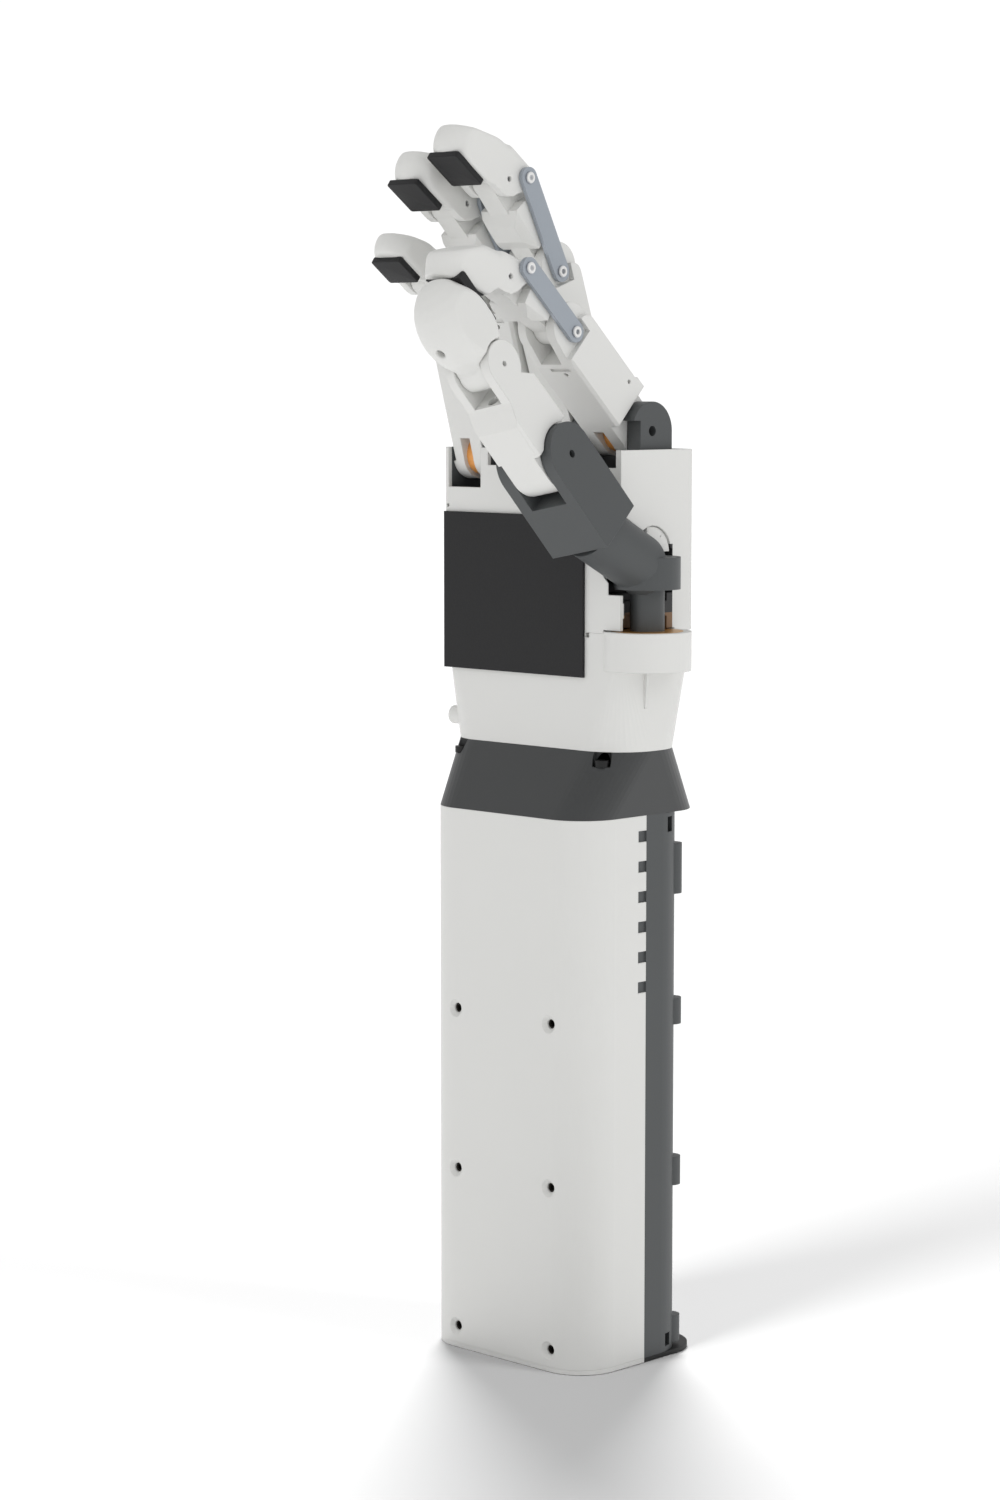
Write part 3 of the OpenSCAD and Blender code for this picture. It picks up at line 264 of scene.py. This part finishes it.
def surface(name, colour, rough, metal=0.0, grain=2600.0, depth=0.12, round_mm=0.35,
            tone=0.05, wear=0.10, specular=0.5):
    """A moulded, painted or ground surface with rounded edges, broad tone and worn edges."""
    mat = bpy.data.materials.new(name)
    mat.use_nodes = True
    tree = mat.node_tree
    tree.nodes.clear()
    out = tree.nodes.new("ShaderNodeOutputMaterial")
    shader = tree.nodes.new("ShaderNodeBsdfPrincipled")
    shader.inputs["Metallic"].default_value = metal
    shader.inputs["Specular IOR Level"].default_value = specular
    tree.links.new(shader.outputs[0], out.inputs["Surface"])
    edges = use_group(tree, EDGES, Radius=round_mm * MM)
    moulded = use_group(tree, GRAIN, Scale=grain, Depth=depth)
    tree.links.new(edges.outputs["Normal"], moulded.inputs["Normal"])
    tree.links.new(moulded.outputs["Normal"], shader.inputs["Normal"])
    # the colour drifts a little darker and lighter over the part
    drift = blend(tree, moulded.outputs["Tone"], toned(colour, 1 - tone), toned(colour, 1 + tone))
    # edges are rubbed paler
    worn_colour = toned(colour, 1 + wear, wear * WORN_LIFT)
    worn = math_node(tree, "MULTIPLY", edges.outputs["Edge"], WORN_SHARE)
    tree.links.new(blend(tree, worn, drift, worn_colour), shader.inputs["Base Color"])
    # the speckle breaks up the gloss
    gloss = roughness_range(tree, moulded.outputs["Speckle"], rough, GLOSS_SPREAD)
    tree.links.new(gloss, shader.inputs["Roughness"])
    return mat


def brushed(name, colour, rough, stretch, metal=1.0):
    """Ground or rolled metal with long fine scratches along the axis that stretch makes small."""
    mat = surface(name, colour, rough, metal=metal, depth=0.04, round_mm=0.15, tone=0.04, wear=0.15)
    tree = mat.node_tree
    place = tree.nodes.new("ShaderNodeTexCoord")
    along = tree.nodes.new("ShaderNodeMapping")
    along.inputs["Scale"].default_value = stretch
    lines = add(tree, "ShaderNodeTexNoise", Scale=900.0, Detail=4.0, Roughness=0.7)
    tree.links.new(place.outputs["Object"], along.inputs["Vector"])
    tree.links.new(along.outputs[0], lines.inputs["Vector"])
    gloss = roughness_range(tree, lines.outputs["Fac"], rough, SCRATCH_SPREAD)
    tree.links.new(gloss, main_shader(tree).inputs["Roughness"])
    return mat


def line_zone(mat, low, high, colour, centre=(0, 0, 0), radius=1000.0):
    """Gives the part of a surface inside a zone another colour; places are in millimetres."""
    tree = mat.node_tree
    base = main_shader(tree).inputs["Base Color"]
    zone = use_group(tree, ZONE, Low=[v * MM for v in low], High=[v * MM for v in high],
                     Centre=[v * MM for v in centre], Radius=radius * MM)
    before = base.links[0].from_socket
    tree.links.new(blend(tree, zone.outputs["Inside"], before, colour), base)


WHITE_PLASTIC = surface("white_plastic", WHITE, 0.48, round_mm=0.45, tone=0.015, wear=0.04)
DARK_PLASTIC = surface("dark_plastic", DARK, 0.50, wear=0.25)
# a darker, glossier copy of the dark plastic for the collar; the darker colour is painted shade
COLLAR_SHADED_PLASTIC = surface("collar_shaded_plastic", COLLAR_SHADE_DARK, 0.38, wear=0.25)
PAD_RUBBER = surface("pad_rubber", PAD_BLACK, 0.55, grain=1500.0, depth=0.25, round_mm=0.25,
                     wear=0.3, specular=0.28)
# the plate's black stands partly as painted shade at the foot of the shell
BLACK_PLATE_AND_SHADE = surface("black_plate", PLATE_BLACK_AND_SHADE, 0.55, round_mm=0.25, wear=0.2)
ORANGE_PLASTIC = surface("orange_plastic", ORANGE, 0.42, round_mm=0.3, tone=0.04)
BOARD = surface("board", BOARD_GREEN, 0.35, round_mm=0.1)
BLACK_SCREW = surface("screw", SCREW_BLACK, 0.4, metal=0.4, round_mm=0.15)
LINK_STEEL = brushed("link_steel", LINK_BLUE, 0.42, (1, 1, 0.05), metal=0.35)
PIN_METAL = brushed("pin_steel", PIN_STEEL, 0.32, (0.05, 1, 1), metal=0.9)
BRASS = brushed("brass", BRASS_YELLOW, 0.35, (1, 1, 0.1), metal=0.8)
# the inserts are darkened as painted shade in the shell's screw holes
SHADED_INSERT = brushed("shaded_insert", INSERT_SHADE_BROWN, 0.4, (1, 1, 0.1), metal=0.6)
MOTOR_CAN = brushed("motor_can", CAN_STEEL, 0.35, (1, 1, 0.1))
PALM_WHITE = surface("palm_white", WHITE, 0.48, round_mm=0.45, tone=0.015, wear=0.04)
EYELET = surface("eyelet_white", EYELET_WHITE, 0.35, round_mm=0.1, tone=0.02, wear=0.05)
TIP_WHITE = surface("tip_white", WHITE, 0.48, round_mm=0.3, tone=0.015, wear=0.03)
CHEEK_WHITE = surface("well_white", WHITE, 0.48, round_mm=0.3, tone=0.015, wear=0.04)

# Zones of another colour, each from a low to a high corner in mm. The shell's lower rim runs down
# over the front of the plate.
PLATE_FRONT = ((-60, -60, -1), (60, -0.35, 3))
line_zone(BLACK_PLATE_AND_SHADE, *PLATE_FRONT, WHITE)

# The palm's finger bays are painted in the dark plastic's colour behind the palm's front face: the dark
# frame there, which also stands as painted shade in the bays. The thumb's well is painted near black, a
# dark lining darkened as painted shade in its hollow, and the well's floor has the brown of the bush,
# darkened as painted shade.
FINGER_BAY_LINING_AND_SHADE = ((-38.2, -15.9, 287.5), (41, 15.9, 330))
WELL_PAINTED_SHADE = ((20, -15.8, 246.2), (60, 16, 275))
WELL_FLOOR_PAINTED_SHADE = ((20, -15.8, 240), (60, 16, 252.5))
WELL_CENTRE = [v / MM for v in joint("thumb_turn")["pos_m"]]
WELL_RADIUS = 13.5
line_zone(PALM_WHITE, *FINGER_BAY_LINING_AND_SHADE, DARK)
line_zone(PALM_WHITE, *WELL_PAINTED_SHADE, WELL_SHADE_BLACK, centre=WELL_CENTRE, radius=WELL_RADIUS)
line_zone(PALM_WHITE, *WELL_FLOOR_PAINTED_SHADE, WELL_SHADED_BROWN, centre=WELL_CENTRE, radius=WELL_RADIUS)

BY_SLOT = {
    "white_plastic": WHITE_PLASTIC, "dark_plastic": DARK_PLASTIC, "pad_rubber": PAD_RUBBER,
    "black_plate": BLACK_PLATE_AND_SHADE, "orange_plastic": ORANGE_PLASTIC, "board": BOARD,
    "screw": BLACK_SCREW, "link_steel": LINK_STEEL, "pin_steel": PIN_METAL, "brass": BRASS,
    "motor_can": MOTOR_CAN,
}
# these nodes look different from the rest of their slot
BY_NODE = {"palm_body": PALM_WHITE, "wrist_collar": COLLAR_SHADED_PLASTIC, "shell_inserts": SHADED_INSERT,
           "thumb_lower_pin": BLACK_SCREW, "knuckle_pins": BLACK_SCREW}


def dress_nodes():
    """Gives every CAD node its material and its slot."""
    for part in frame["record"]["subparts"]:
        node = NODES[part["node"]]
        mat = BY_NODE.get(part["node"], BY_SLOT[part["material_slot"]])
        node.data.materials.clear()
        node.data.materials.append(mat)


dress_nodes()


# ---- meshes ----

def corners(node):
    """A node's vertices in world places."""
    obj = NODES[node]
    return [obj.matrix_world @ v.co for v in obj.data.vertices]


def copied(node):
    """A node's mesh in world places, as a bmesh to reshape; piece() turns it into an object."""
    bm = bmesh.new()
    bm.from_mesh(NODES[node].data)
    bm.transform(NODES[node].matrix_world)
    return bm


def skin(bm, rows):
    """Joins rings of vertices into one closed body, with a flat face at each end."""
    for lower, upper in zip(rows, rows[1:]):
        for i in range(len(lower)):
            n = (i + 1) % len(lower)
            bm.faces.new((lower[i], lower[n], upper[n], upper[i]))
    bm.faces.new(rows[-1])
    bm.faces.new(rows[0])
    bmesh.ops.recalc_face_normals(bm, faces=bm.faces)


def piece(bm, name, mat, body, sharp_from=None, node=None):
    """Turns a bmesh into a smooth piece that rides on a body, in place of a node where one is named.

    Edges that turn by more than sharp_from degrees stay sharp.
    """
    mesh = bpy.data.meshes.new(name)
    bm.to_mesh(mesh)
    bm.free()
    mesh.shade_smooth()
    if sharp_from:
        mesh.set_sharp_from_angle(angle=math.radians(sharp_from))
    mesh.materials.append(mat)
    obj = bpy.data.objects.new(name, mesh)
    SCENE.collection.objects.link(obj)
    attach(obj, body)
    if node:
        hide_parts(node)


# ---- the side links' eyelets ----

FINGERS = ("index", "middle", "ring", "little")
RIVET_AXIS = Vector((1, 0, 0))
# a rolled collar, 3.5 mm across and 0.37 mm proud of the rivet's head: along the axis and radius
EYELET_PROFILE = [(-0.05, 0.85), (0.2, 0.85), (0.33, 1.0), (0.37, 1.25), (0.33, 1.5), (0.2, 1.7),
                  (-0.05, 1.74)]
EYELET_SIDES = 40


def outer_face(node, axis, within=0.05):
    """The middle of a node's face that lies furthest along an axis, in metres; within is in mm."""
    points = corners(node)
    far = max(p.dot(axis) for p in points)
    ends = [p for p in points if far - p.dot(axis) < within * MM]
    low = [min(p[i] for p in ends) for i in range(3)]
    high = [max(p[i] for p in ends) for i in range(3)]
    return Vector([(a + b) / 2 for a, b in zip(low, high)])


def lathe(name, profile, start, axis, mat, body, turns=EYELET_SIDES):
    """Turns a closed profile of (distance along the axis, radius) points in mm into a ring."""
    bm = bmesh.new()
    rows = []
    side = axis.orthogonal().normalized()
    other = axis.cross(side).normalized()
    for i in range(turns):
        angle = 2 * math.pi * i / turns
        out = side * math.cos(angle) + other * math.sin(angle)
        rows.append([bm.verts.new(start + (axis * along + out * radius) * MM)
                     for along, radius in profile])
    for i, row in enumerate(rows):
        after = rows[(i + 1) % turns]
        for k in range(len(profile)):
            n = (k + 1) % len(profile)
            bm.faces.new((row[k], row[n], after[n], after[k]))
    bmesh.ops.recalc_face_normals(bm, faces=bm.faces)
    piece(bm, name, mat, body)


def link_eyelets():
    """A rolled collar on both rivets of each finger's side link."""
    for finger in FINGERS:
        for place, body in (("upper", "end"), ("lower", "lower")):
            middle = outer_face(f"{finger}_{place}_pins", RIVET_AXIS)
            lathe(f"{finger}_{place}_eyelet", EYELET_PROFILE, middle, RIVET_AXIS, EYELET,
                  f"{finger}_{body}")


link_eyelets()


# ---- fingertips ----

# A soft tip, in mm: the size of its even mesh, where the blend starts past the hinge and the length
# that it grows over. Then how far each round moves a vertex, and the number of rounds.
TIP_MESH = 0.4
BLEND_START = 2.5
BLEND_LENGTH = 5
BLEND_SHARE = 0.5
SMOOTHING = 24

# The index tip, in mm: how much deeper its palm side is, from how far past the hinge, and by how
# much less its pad stands out, which keeps the pad behind the thumb's tip.
INDEX_DEEPER = 2.4
DEEPER_FROM = 5
INDEX_PAD_LOWER = 1.5

# Pads, in mm: how far each is let into its tip, its round corners, its outer edge and its foot.
PAD_SEATING = 0.3
PAD_CORNER = 0.9
PAD_EDGE = 0.3
PAD_FOOT = 0.15
# the thumb's pad is let in further, and it is thicker and longer than the plain solid
THUMB_PAD = {"sink": 1.5, "out_by": 0.9, "longer": 2.9}

# The bevel beside the thumb's pad: its slope, where it begins along the pad, its height above the
# pad's seat there, and the radius that it falls away with towards the tip, in mm.
TRIM_ANGLE = math.radians(42)
TRIM_START = 0.45
TRIM_STEP = 1.35
TRIM_RADIUS = 14.8


def pad_axes(pad, tip, hinge):
    """A flat pad's axes: outward from the fingertip, towards the tip, and across, all of length 1."""
    across = Vector(joint(hinge)["axis"]).normalized()
    low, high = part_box(tip)
    points = corners(pad)
    middle = sum(points, Vector()) / len(points)
    # the outward axis is the pad's thinnest direction, square to the hinge
    thinnest = None
    side = across.orthogonal().normalized()
    for half_degrees in range(360):
        turned = Matrix.Rotation(math.radians(half_degrees / 2), 3, across) @ side
        heights = [p.dot(turned) for p in points]
        if thinnest is None or max(heights) - min(heights) < thinnest:
            thinnest = max(heights) - min(heights)
            out = turned
    if (middle - (Vector(low) + Vector(high)) / 2).dot(out) < 0:
        out = -out
    along = across.cross(out).normalized()
    if (middle - Vector(joint(hinge)["pos_m"])).dot(along) < 0:
        along = -along
    return out, along, across


def rubber_pad(pad, tip, hinge, body, sink=0.0, out_by=0.0, longer=0.0):
    """A moulded rubber pad with round corners and edges in place of a plain one; sizes in mm.

    sink moves the inner face inward, out_by moves the outer face outward, longer adds to the tip end.
    """
    out, along, across = pad_axes(pad, tip, hinge)
    spans = [[min(p.dot(a) for p in corners(pad)), max(p.dot(a) for p in corners(pad))]
             for a in (across, along, out)]
    spans[1][1] += longer * MM
    spans[2][0] -= sink * MM
    spans[2][1] += out_by * MM
    (x0, x1), (y0, y1), (z0, z1) = spans
    bm = bmesh.new()

    def ring(inset, height):
        row = []
        radius = PAD_CORNER * MM
        for quarter, (cx, cy) in enumerate(((x1, y1), (x0, y1), (x0, y0), (x1, y0))):
            cx += -radius if cx == x1 else radius
            cy += -radius if cy == y1 else radius
            for step in range(7):
                angle = math.radians(90 * quarter + 15 * step)
                place = (across * (cx + (radius - inset) * math.cos(angle))
                         + along * (cy + (radius - inset) * math.sin(angle)) + out * height)
                row.append(bm.verts.new(place))
        return row

    foot, edge = PAD_FOOT * MM, PAD_EDGE * MM
    rows = [ring(foot, z0), ring(0, z0 + foot)]
    for step in range(5):
        angle = math.radians(22.5 * step)
        rows.append(ring(edge * (1 - math.cos(angle)), z1 - edge * (1 - math.sin(angle))))
    skin(bm, rows)
    piece(bm, pad + "_rubber", PAD_RUBBER, body, sharp_from=35, node=pad)


def trim_beside_pad(bm, pad, out, along, across):
    """Bevels the shell beside a pad, curving away towards the tip, so that the pad stands clear."""
    points = corners(pad)
    seat = min(p.dot(out) for p in points)
    edge = max(p.dot(across) for p in points)
    ends = [p.dot(along) for p in points]
    start = min(ends) + TRIM_START * (max(ends) - min(ends))
    away = out * math.cos(TRIM_ANGLE) + across * math.sin(TRIM_ANGLE)
    for vert in bm.verts:
        height = (vert.co.dot(out) - seat) * math.cos(TRIM_ANGLE)
        reach = height + (vert.co.dot(across) - edge) * math.sin(TRIM_ANGLE)
        past = max(0.0, vert.co.dot(along) - start)
        limit = TRIM_STEP * MM - past * past / (2 * TRIM_RADIUS * MM)
        if reach > limit:
            vert.co -= away * (reach - limit)


def even_mesh(bm):
    """A bmesh remade with faces of one small size, so that it can be smoothed."""
    mesh = bpy.data.meshes.new("rough_tip")
    bm.to_mesh(mesh)
    bm.free()
    rough = bpy.data.objects.new("rough_tip", mesh)
    SCENE.collection.objects.link(rough)
    remesh = rough.modifiers.new("even", "REMESH")
    remesh.mode = "VOXEL"
    remesh.voxel_size = TIP_MESH * MM
    even = bpy.data.meshes.new_from_object(rough.evaluated_get(bpy.context.evaluated_depsgraph_get()))
    bpy.data.objects.remove(rough)
    bm = bmesh.new()
    bm.from_mesh(even)
    return bm


def soften(bm, origin, along, rounds):
    """Smooths a shell in rounds, more strongly the further past its hinge, up to a full blend."""
    weights = {}
    for vert in bm.verts:
        reach = ((vert.co - origin).dot(along) / MM - BLEND_START) / BLEND_LENGTH
        reach = max(0.0, min(1.0, reach))
        weights[vert] = BLEND_SHARE * reach * reach * (3 - 2 * reach)
    for _ in range(rounds):
        moved = {}
        for vert, weight in weights.items():
            if weight > 0:
                near = [edge.other_vert(vert).co for edge in vert.link_edges]
                moved[vert] = vert.co.lerp(sum(near, Vector()) / len(near), weight)
        for vert, place in moved.items():
            vert.co = place


def soft_tip(tip, pad, hinge, body, rounds, deeper=0.0, trim=False):
    """A fingertip shell with softly blended edges; deeper moves its palm face outward, in mm."""
    out, along, across = pad_axes(pad, tip, hinge)
    origin = Vector(joint(hinge)["pos_m"])
    seat = min(p.dot(out) for p in corners(pad))
    bm = copied(tip)
    bmesh.ops.remove_doubles(bm, verts=bm.verts, dist=1e-6)
    for vert in bm.verts:
        if vert.co.dot(out) > seat - 0.05 * MM and (vert.co - origin).dot(along) > DEEPER_FROM * MM:
            vert.co += out * deeper * MM
    bm = even_mesh(bm)
    if trim:
        trim_beside_pad(bm, pad, out, along, across)
    soften(bm, origin, along, rounds)
    piece(bm, tip + "_shell", TIP_WHITE, body, sharp_from=40, node=tip)


def fingertips():
    """The five fingertips with their rubber pads."""
    for finger in FINGERS:
        deeper, lower = (INDEX_DEEPER, INDEX_PAD_LOWER) if finger == "index" else (0.0, 0.0)
        tip, pad = f"{finger}_distal", f"{finger}_pad"
        hinge, body = f"{finger}_curl", f"{finger}_end"
        soft_tip(tip, pad, hinge, body, SMOOTHING, deeper=deeper)
        rubber_pad(pad, tip, hinge, body, sink=PAD_SEATING - deeper, out_by=deeper - lower)
    thumb = {"hinge": "thumb_end_bend", "body": "thumb_end"}
    soft_tip("thumb_distal", "thumb_pad", **thumb, rounds=SMOOTHING // 2, trim=True)
    rubber_pad("thumb_pad", "thumb_distal", **thumb, **THUMB_PAD)


fingertips()


# ---- palm: the cheek above the thumb's well ----

# The cheek, in mm: the centre and radius of its round back, how far its outline goes round in
# degrees, its straight front and its foot above the centre. Then the side that it starts from, how
# far its face stays inside the palm's side, how its edge is rounded, and how its face is crowned.
CHEEK_CENTRE_Y = -1.8
CHEEK_CENTRE_Z = 272.2
CHEEK_RADIUS = 8.85
CHEEK_TURN = 88
CHEEK_STEPS = 16
CHEEK_FRONT = -4.0
CHEEK_FOOT = 0.3
CHEEK_START = 31.0
CHEEK_SET_BACK = 0.6
CHEEK_EDGE = 0.3
CHEEK_CROWN = 0.45
CROWN_INSET = 2.4


def cheek_outline():
    """The cheek seen from the palm's side, in mm: a corner at its foot, then its arc."""
    outline = [Vector((CHEEK_START, CHEEK_FRONT, CHEEK_CENTRE_Z + CHEEK_FOOT))]
    first = math.degrees(math.asin((CHEEK_FRONT - CHEEK_CENTRE_Y) / CHEEK_RADIUS))
    for i in range(CHEEK_STEPS + 1):
        turn = math.radians(first + (CHEEK_TURN - first) * i / CHEEK_STEPS)
        outline.append(Vector((CHEEK_START, CHEEK_CENTRE_Y + CHEEK_RADIUS * math.sin(turn),
                               CHEEK_CENTRE_Z + CHEEK_RADIUS * math.cos(turn))))
    return outline


def thumb_well_cheek():
    """The rounded cheek on the palm's side, above the hub of the thumb's arm."""
    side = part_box("palm_body")[1][0] / MM
    depth = side - CHEEK_START - CHEEK_SET_BACK
    outline = cheek_outline()
    middle = sum(outline, Vector()) / len(outline)
    bm = bmesh.new()
    rows = []
    # a straight wall, two steps round the edge, and the crowned face
    for along, inset in ((0, 0), (depth - CHEEK_EDGE, 0),
                         (depth - 0.3 * CHEEK_EDGE, 0.3 * CHEEK_EDGE), (depth, CHEEK_EDGE),
                         (depth + CHEEK_CROWN, CROWN_INSET)):
        row = []
        for point in outline:
            inward = (middle - point).normalized() * inset
            row.append(bm.verts.new((point + inward + Vector((along, 0, 0))) * MM))
        rows.append(row)
    skin(bm, rows)
    piece(bm, "well_cheek", CHEEK_WHITE, "forearm", sharp_from=40)


thumb_well_cheek()


# ---- floor, light and camera ----

def floor():
    """A wide dull floor that the studio lights bring up to the backdrop's white."""
    mesh = bpy.data.meshes.new("floor")
    obj = bpy.data.objects.new("floor", mesh)
    SCENE.collection.objects.link(obj)
    bm = bmesh.new()
    bmesh.ops.create_grid(bm, x_segments=8, y_segments=8, size=FLOOR_HALF_SIZE)
    bm.to_mesh(mesh)
    bm.free()
    mat = bpy.data.materials.new("floor")
    mat.use_nodes = True
    tree = mat.node_tree
    shader = main_shader(tree)
    shader.inputs["Roughness"].default_value = 0.9
    shader.inputs["Specular IOR Level"].default_value = 0.0
    place = tree.nodes.new("ShaderNodeTexCoord")
    cloud = add(tree, "ShaderNodeTexNoise", Scale=3.0, Detail=2.0)
    tree.links.new(place.outputs["Object"], cloud.inputs["Vector"])
    pale = FLOOR_TONE + FLOOR_DRIFT
    drift = blend(tree, cloud.outputs["Fac"], (FLOOR_TONE, FLOOR_TONE, FLOOR_TONE, 1),
                  (pale, pale, pale, 1))
    tree.links.new(drift, shader.inputs["Base Color"])
    mesh.materials.append(mat)
    obj.location.z = -FLOOR_DROP
    return obj


def direction(turn, height):
    """A unit vector at a bearing from +X and an elevation, both in degrees."""
    around, above = math.radians(turn), math.radians(height)
    return Vector((math.cos(around) * math.cos(above), math.sin(around) * math.cos(above),
                   math.sin(above)))


def aimed(name, data, towards):
    """An object for a light or a camera that faces away from the given direction."""
    obj = bpy.data.objects.new(name, data)
    SCENE.collection.objects.link(obj)
    obj.rotation_mode = "QUATERNION"
    obj.rotation_quaternion = towards.to_track_quat("Z", "Y")
    return obj


def soft_sun(name, turn, height, strength, softness):
    """A distant soft light: turn is its bearing from +X, height its elevation, softness its width."""
    data = bpy.data.lights.new(name, "SUN")
    data.energy = strength
    data.angle = math.radians(softness)
    return aimed(name, data, direction(turn, height))


def studio():
    """White surroundings, a soft light from the right, and three more that only light the floor."""
    world = bpy.data.worlds.new("studio")
    SCENE.world = world
    world.use_nodes = True
    tree = world.node_tree
    back = tree.nodes["Background"]
    back.inputs["Color"].default_value = (1, 1, 1, 1)
    # the backdrop shows as plain white, and the room lights the object at its own strength
    seen = tree.nodes.new("ShaderNodeLightPath")
    level = tree.nodes.new("ShaderNodeMapRange")
    level.inputs["To Min"].default_value = ROOM_LIGHT
    level.inputs["To Max"].default_value = BACKDROP_LIGHT
    tree.links.new(seen.outputs["Is Camera Ray"], level.inputs["Value"])
    tree.links.new(level.outputs[0], back.inputs["Strength"])
    ground = bpy.data.collections.new("ground")
    ground.objects.link(floor())
    for light in OBJECT_LIGHTS:
        soft_sun(*light)
    for light in FLOOR_LIGHTS:
        # these lights fall on the floor alone, where the object throws their shadows
        soft_sun(*light).light_linking.receiver_collection = ground


def camera():
    """A long lens that looks slightly down at the palm and the thumb's side."""
    data = bpy.data.cameras.new("camera")
    data.lens = CAMERA_LENS
    data.sensor_width = CAMERA_SENSOR
    data.clip_start, data.clip_end = 0.05, 30
    # the bearing counts round from the palm side, which faces -Y
    obj = aimed("camera", data, direction(CAMERA_BEARING - 90, CAMERA_ELEVATION))
    obj.location = CAMERA_PLACE
    SCENE.camera = obj


studio()
camera()
SCENE.view_settings.view_transform = "Standard"
SCENE.view_settings.look = "None"
SCENE.view_settings.exposure = 0.0
